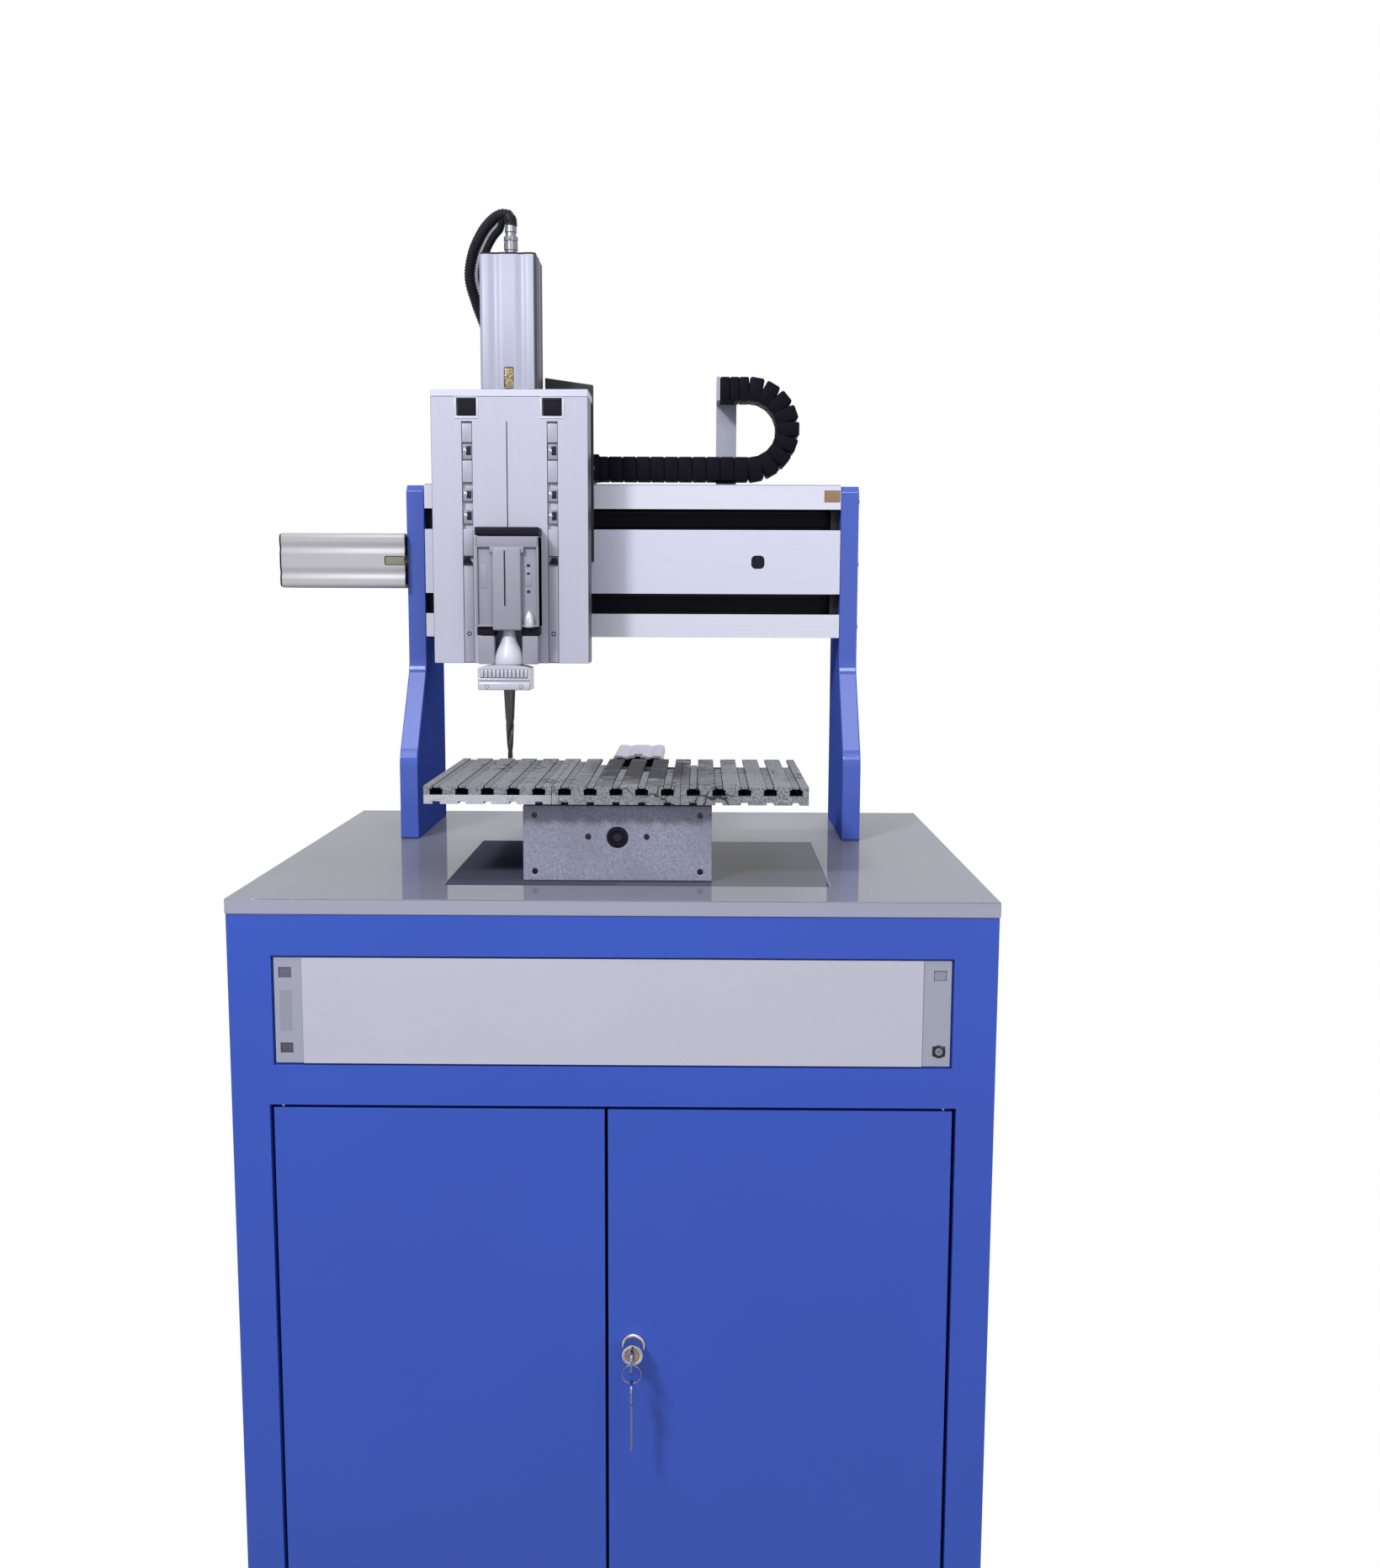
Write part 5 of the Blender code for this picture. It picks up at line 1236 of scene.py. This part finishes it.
LEAD_RADIUS, LEAD_GAP = 0.0065, 0.0009
ARCH = [(0, 0, 0), (0, 0, 0.003), (-0.003, 0.0008, 0.0102), (-0.0105, 0.0035, 0.0125)]
ARCH += [(-0.0215, 0.0085, 0.008), (-0.0345, 0.0165, -0.004), (-0.047, 0.027, -0.025)]
DROP = [(-0.052, 0.035, -0.050), (-0.046, 0.042, -0.076), (-0.036, 0.0445, -0.104), (-0.026, 0.044, -0.136)]
DROP += [(-0.016, 0.044, -0.171), (-0.008, 0.045, -0.205), (0.002, 0.050, -0.234), (0.018, 0.063, -0.256)]
chain_low, chain_high = corners("chain_lower")
_, chain_y, chain_z = (chain_low + chain_high) / 2
lead_start = np.array([plug_place[0], plug_place[1], plug_high[2] + LEAD_GAP])
lead_end = np.array([chain_low[0] - LEAD_GAP, chain_y, chain_z])
held = [lead_end + (-0.022, -0.002, 0.001), lead_end]
lead_path, lead_length = evenly(
    smooth_route(np.concatenate([lead_start + np.array(ARCH + DROP), held]), 12), 0.0008
)
print("motor lead", round(lead_length, 3), "m")

# %% [markdown]
# A grey strand, which paints the highlight along the conduit's inner side, and a thin black cable run inside
# the arch. They start in the conduit's end nut and come back to it at the chain, so the offset from the
# conduit's middle grows and fades with a smooth step. Both ends are held, one by the head and one by the
# carriage; the lead is built where it lies and rides on no body.

# %% Conduit and wires
RIB_PITCH, RIB_DEPTH, NUT_LENGTH, ELBOW_LENGTH = 0.0032, 0.0009, 0.010, 0.0125
distance = np.linspace(0, lead_length, len(lead_path))
from_end = np.minimum(distance, lead_length - distance)
ribs = RIB_DEPTH * (0.5 + 0.5 * np.cos(2 * np.pi * distance / RIB_PITCH)) ** 2
conduit = swept(lead_path, LEAD_RADIUS - np.where(from_end > NUT_LENGTH, ribs, 0.0001), 14)
inward = np.cross(np.gradient(lead_path, axis=0), BACK)
inward /= np.linalg.norm(inward, axis=1, keepdims=True)
grow = np.clip((from_end - 0.004) / 0.030, 0, 1)[:, None]
grow = grow * grow * (3 - 2 * grow)
# Painted highlight: a grey strand along the conduit's inner side.
highlight_path = lead_path + inward * grow * (LEAD_RADIUS + 0.0014)
cable_path = lead_path + inward * grow * (LEAD_RADIUS + 0.0066) + 0.002 * grow * BACK
elbow_path = lead_path[distance < ELBOW_LENGTH]
elbow_rings = np.sin(np.linspace(0, 3 * np.pi, len(elbow_path))) > 0.3
elbow = swept(elbow_path, LEAD_RADIUS + 0.0010 - 0.0005 * elbow_rings, 20)
piece("connector_elbow", [elbow], conduit_black, "z_head")
for name, skin, finish, replaced in (
    ("motor_conduit", conduit, conduit_black, ["z_lead"]),
    ("motor_highlight_strand", swept(highlight_path[4:-4:3], 0.0017, 10), highlight_grey, []),
    ("motor_cable", swept(cable_path[4:-4:3], 0.0042, 12), conduit_black, []),
):
    made = piece(name, [skin], finish, None, replaced)
    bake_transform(made)
print(int(lead_length / RIB_PITCH), "ribs")

# %% [markdown]
# ## Energy chain
# The chain is a row of moulded links, each with two side plates, a lid and pins. On the real machine the
# lower run grows shorter as the carriage drives to the right; here it rides with the bend at its full
# length. The upper run is stretched between its bracket and the bend. An end bracket on the carriage takes
# the first link.

# %% Chain links
PITCH = 0.0165
_, chain_width, chain_height = chain_high - chain_low


def link(length):
    """One link round the origin, along X, with its lid up: a body, two cheeks, a lid and two pins."""
    half, wide, tall = length / 2, chain_width / 2, chain_height / 2
    skins = [
        brick(around(0, half * 1.06), around(0, wide - 0.0015), around(0, tall - 0.0010), 0.0010, 3),
        brick(around(0, half * 0.97), (-wide, -wide + 0.0045), around(0, tall), 0.0014, 3),
        brick(around(0, half * 0.97), (wide - 0.0045, wide), around(0, tall), 0.0014, 3),
        brick(around(0, half * 0.55), around(0, wide - 0.006), around(0, tall), 0.0010, 3),
    ]
    pin = [(0, 0.0042), (0.0004, 0.0042), (0.0006, 0.0030), (0.0002, 0.0026)]
    skins += [turned(pin, (0, hand * (wide - 0.0005), 0), (0, hand, 0), 12) for hand in (-1, 1)]
    return joined(skins)


def straight_run(start, end, height, count):
    """Links side by side from one place to another along X."""
    length = (end - start) / count
    points, faces = link(length)
    place = start + (np.arange(count) + 0.5) * length
    shift = np.stack([place, np.full(count, chain_y), np.full(count, height)], 1)
    return [(points + offset, faces) for offset in shift]


bend_low, bend_high = corners("chain_bend")
bend_x, bend_z = bend_low[0], (bend_low[2] + bend_high[2]) / 2
lower_start, (upper_start, _, upper_foot) = chain_low[0], corners("chain_upper")[0]
upper_z = upper_foot + chain_height / 2
lower_links = straight_run(lower_start, bend_x, chain_z, round((bend_x - lower_start) / PITCH))
lower = piece("chain_lower_links", lower_links, chain_black, "chain_loop", ["chain_lower"])
slide_end = next(joint["range_m"][1] for joint in frame["joints"] if joint["name"] == "x_slide")
left_over = 1 - slide_end / 2 / (bend_x - lower_start)
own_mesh(lower)
upper_links = straight_run(upper_start, bend_x, upper_z, 3)
upper = piece("chain_upper_links", upper_links, chain_black, None, ["chain_upper"])
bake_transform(upper)
print("chain runs of", len(lower_links), "and", len(upper_links), "links")

# %% [markdown]
# In the bend each link is turned about the bend's axis by its share of half a turn, with its lid
# outwards: one array of rotation matrices places them all.

# %% Chain bend
bend_radius = upper_z - bend_z
bend_count = round(np.pi * bend_radius / PITCH)
turns = (np.arange(bend_count) + 0.5) * np.pi / bend_count
bend_points, bend_faces = link(np.pi * bend_radius / bend_count)
bend_points = bend_points * (1, 1, -1) + (0, 0, -bend_radius)
rotation = np.zeros((bend_count, 3, 3))
rotation[:, 0, 0] = rotation[:, 2, 2] = np.cos(turns)
rotation[:, 0, 2], rotation[:, 2, 0], rotation[:, 1, 1] = -np.sin(turns), np.sin(turns), 1
bent = np.einsum("nij,pj->npi", rotation, bend_points) + (bend_x, chain_y, bend_z)
bend_links = [(points, bend_faces) for points in bent]
piece("chain_bend_links", bend_links, chain_black, "chain_loop", ["chain_bend"])
print("chain bend of", bend_count, "links")

# %% [markdown]
# The end bracket on the carriage is two cheeks and a lid, a little wider than the chain, with a screw in
# its front cheek at either end.

# %% Chain end
END_LENGTH, END_WALL = 0.022, 0.0022
wide, tall = chain_width / 2 + 0.0010, chain_height / 2 + 0.0002
front_y, back_y = around(chain_y, wide)
cheek_long, lid_top = (lower_start - 0.004, lower_start + END_LENGTH), chain_z + tall
bracket = [
    brick(cheek_long, (front_y - END_WALL, front_y), around(chain_z, tall), 0.001),
    brick(cheek_long, (back_y, back_y + END_WALL), around(chain_z, tall), 0.001),
    brick(
        (lower_start - 0.0030, lower_start + END_LENGTH),
        (front_y - 0.001, back_y + 0.001),
        (lid_top, lid_top + END_WALL),
        0.0008,
    ),
]
piece("chain_end_bracket", bracket, chain_black, "x_carriage")
places = [(lower_start + x, front_y - END_WALL, chain_z) for x in (0.004, 0.015)]
screws("chain_end_screws", "x_carriage", places, FORWARD, 0.0022, 0.0012)
print("end bracket", round(END_LENGTH * 1000), "mm long")

# %% [markdown]
# ## Strips in the table's slots
# Each T-slot is closed near its top by a loose strip, so that chips don't fill it. The strips stop short
# of the back, by more in the middle and at the right, where the slots stand open and black. Along the
# front and the back their ends leave the slots' dark mouths to see.

# %% Slot strips
SLOT_COUNT, MOUTH, STRIP_PLAY, STRIP_THICKNESS = 15, 0.008, 0.0005, 0.0022
slot_index = np.arange(SLOT_COUNT)
slot_pitch = (table_high[0] - table_low[0]) / SLOT_COUNT
slot_x = table_low[0] + (slot_index + 0.5) * slot_pitch
open_length = 0.010 + 0.110 * np.exp(-(((slot_index - 8) / 2.2) ** 2))
open_length[-4:] += 0.065
strip_top = table_high[2] - 0.0004
strip_tall, strip_front = (strip_top - STRIP_THICKNESS, strip_top), table_low[1] + 0.003
slot_strips = [
    brick(around(x, MOUTH / 2 - STRIP_PLAY), (strip_front, table_high[1] - short), strip_tall, 0.0004)
    for x, short in zip(slot_x, open_length)
]
# The strips' darker casting is painted shade.
piece("slot_strips", slot_strips, strip_cast, "table")
print(len(slot_strips), "slot strips,", round(slot_pitch * 1000, 1), "mm apart")

# %% [markdown]
# ## Small things on the beam and the table's end
# A black plug closes a hole in the beam's cover, and a small tan patch sits at the right end of its top
# band. A plug with a grey centre closes the Y screw's bearing.

# %% Plugs and tape
beam_face = beam_low[1] + PROUD
beam_plug = slab((0.1485, beam_face, board_top + 0.322), RIGHT, UP, (0.0155, 0.0155), 0.0050, 0.0008)
piece("beam_plug", [beam_plug], plug_black, "machine")
# A thin tan patch on the beam's top band.
tan_patch = slab((0.2355, beam_face, board_top + 0.399), RIGHT, UP, (0.019, 0.014), 0.0006, 0.0006, 0.0002)
piece("beam_tan_patch", [tan_patch], tan_patch_finish, "machine")
screw_z = (corners("y_screw")[0][2] + corners("y_screw")[1][2]) / 2
bearing_place = (0, plate_low[1] + 0.001, screw_z)
bearing = [(-0.004, 0.0103), (0.0010, 0.0103), (0.0018, 0.0098), (0.0020, 0.0072), (0.0010, 0.0062)]
piece("bearing_plug", [turned(bearing, bearing_place, FORWARD, 40)], plug_black, "machine")
centre = [(0.0005, 0.0045), (0.0018, 0.0045), (0.0024, 0.0038), (0.0024, 0.0018), (0.0014, 0.0014)]
piece("bearing_centre", [turned(centre, bearing_place, FORWARD, 24)], rail_steel, "machine")
print("bearing plug at", round(screw_z, 3), "m")

# %% [markdown]
# ## Control panel's ears
# Each ear of the panel has two slots with cage nuts behind them, in three shades of grey. The left ear
# has a pale strip between its slots, and the lower right slot has the only screw, with its washer.

# %% Cage nuts and screw
(_, panel_face, panel_foot), (panel_side, panel_back, panel_top) = corners("rack_panel")
ear_x = panel_side - 0.0105
low_nut, high_nut = panel_foot + 0.0145, panel_top - 0.0145


def cage_nut(hand, z):
    """Block that fills one slot, just behind the panel's face."""
    nut_deep = (panel_face + 0.0010, panel_back - 0.0002)
    return brick(around(hand * ear_x, 0.0058), nut_deep, around(z, 0.0048), 0.0005)


piece("cage_nut_left_high", [cage_nut(-1, high_nut)], cage_grey, "machine")
piece("cage_nuts_low", [cage_nut(-1, low_nut), cage_nut(1, low_nut)], cage_dark, "machine")
piece("cage_nut_right_high", [cage_nut(1, high_nut)], cage_pale, "machine")
strip_place = (-ear_x, panel_face + PROUD, (low_nut + high_nut) / 2)
ear_strip = slab(strip_place, RIGHT, UP, (0.0112, 0.0395), 0.0008, 0.0004, 0.0001)
piece("ear_strip", [ear_strip], ear_lacquer, "machine")
washer = [(0, 0.0062), (0.0006, 0.0062), (0.0008, 0.0058), (0.0008, 0.0030)]
washer_skin = turned(washer, (ear_x, panel_face + PROUD, low_nut), FORWARD, 28)
piece("panel_washer", [washer_skin], rail_steel, "machine")
places = [(ear_x, panel_face - 0.0005, low_nut)]
screws("panel_screw", "machine", places, FORWARD, 0.0036, 0.0012, cage_steel)
print("panel ears", round(ear_x * 2, 3), "m apart")

# %% [markdown]
# ## Lock
# The lock's barrel passes through a narrow dished ring on the door. The ring is turned, with a fine
# knurl: its radius rises and falls 60 times a turn.

# %% Lock ring
KNURLS = 60
barrel_low, barrel_high = corners("lock_barrel")
lock_x, _, lock_z = (barrel_low + barrel_high) / 2
rise = np.array([0.0001, 0.0016, 0.0024, 0.0030, 0.0030])
reach = (barrel_high[0] - barrel_low[0]) / 2 + np.array([0.0018, 0.0017, 0.0012, 0.0006, 0.0002])
angle = np.arange(2 * KNURLS) * np.pi / KNURLS
knurl = 1 + np.array([0.01, 0.01, 0, 0, 0])[:, None] * np.cos(KNURLS * angle)
circle = np.outer(np.cos(angle), RIGHT) + np.outer(np.sin(angle), UP)
ring = (reach[:, None] * knurl)[..., None] * circle + rise[:, None, None] * FORWARD
lock_place = (lock_x, corners("door_right")[0][1], lock_z)
piece("lock_ring", [skin_of(ring + lock_place)], nickel, "right_door")
print("lock ring", round(reach[0] * 2000, 1), "mm wide")

# %% [markdown]
# ## Cabinet back
# The back of the cabinet is a screwed panel with two columns of pressed vents. Each vent is half a round bar
# laid across the panel, with a black strip under it, painted shade for the vent's opening.

# %% Cabinet back
VENT_COUNT, VENT_PITCH, VENT_LENGTH = 9, 0.016, 0.120
back = corners("cabinet_shell")[1][1]
back_panel = slab((0, back + 0.0001, 0.360), -RIGHT, UP, (0.640, 0.660), 0.004, 0.0009, 0.0003)
piece("back_panel", [back_panel], cabinet_blue, "machine")
half_turn = np.linspace(0, np.pi, 13)
vent = np.stack([np.cos(half_turn) * 0.0045, np.sin(half_turn) * 0.0030], 1)
vent_places = [(x, z) for x in (-0.16, 0.16) for z in 0.42 + VENT_PITCH * np.arange(VENT_COUNT)]
vents = [
    extruded(vent, (x - VENT_LENGTH / 2, back + 0.0008, z), UP, BACK, RIGHT, VENT_LENGTH)
    for x, z in vent_places
]
piece("back_vents", vents, cabinet_blue, "machine")
# Painted shade: a black strip stands for each vent's opening.
vent_slots = [
    brick(around(x, 0.057), (back + 0.0010, back + 0.0024), (z - 0.0052, z - 0.0035), 0.0003)
    for x, z in vent_places
]
piece("back_vent_slots", vent_slots, plug_black, "machine")
places = [(x, back + 0.0010, z) for x in (-0.305, 0, 0.305) for z in (0.045, 0.675)]
places += [(x, back + 0.0010, 0.360) for x in (-0.305, 0.305)]
screws("back_screws", "machine", places, BACK, 0.0042, 0.0024)
print(len(vents), "vents and", len(places), "screws")
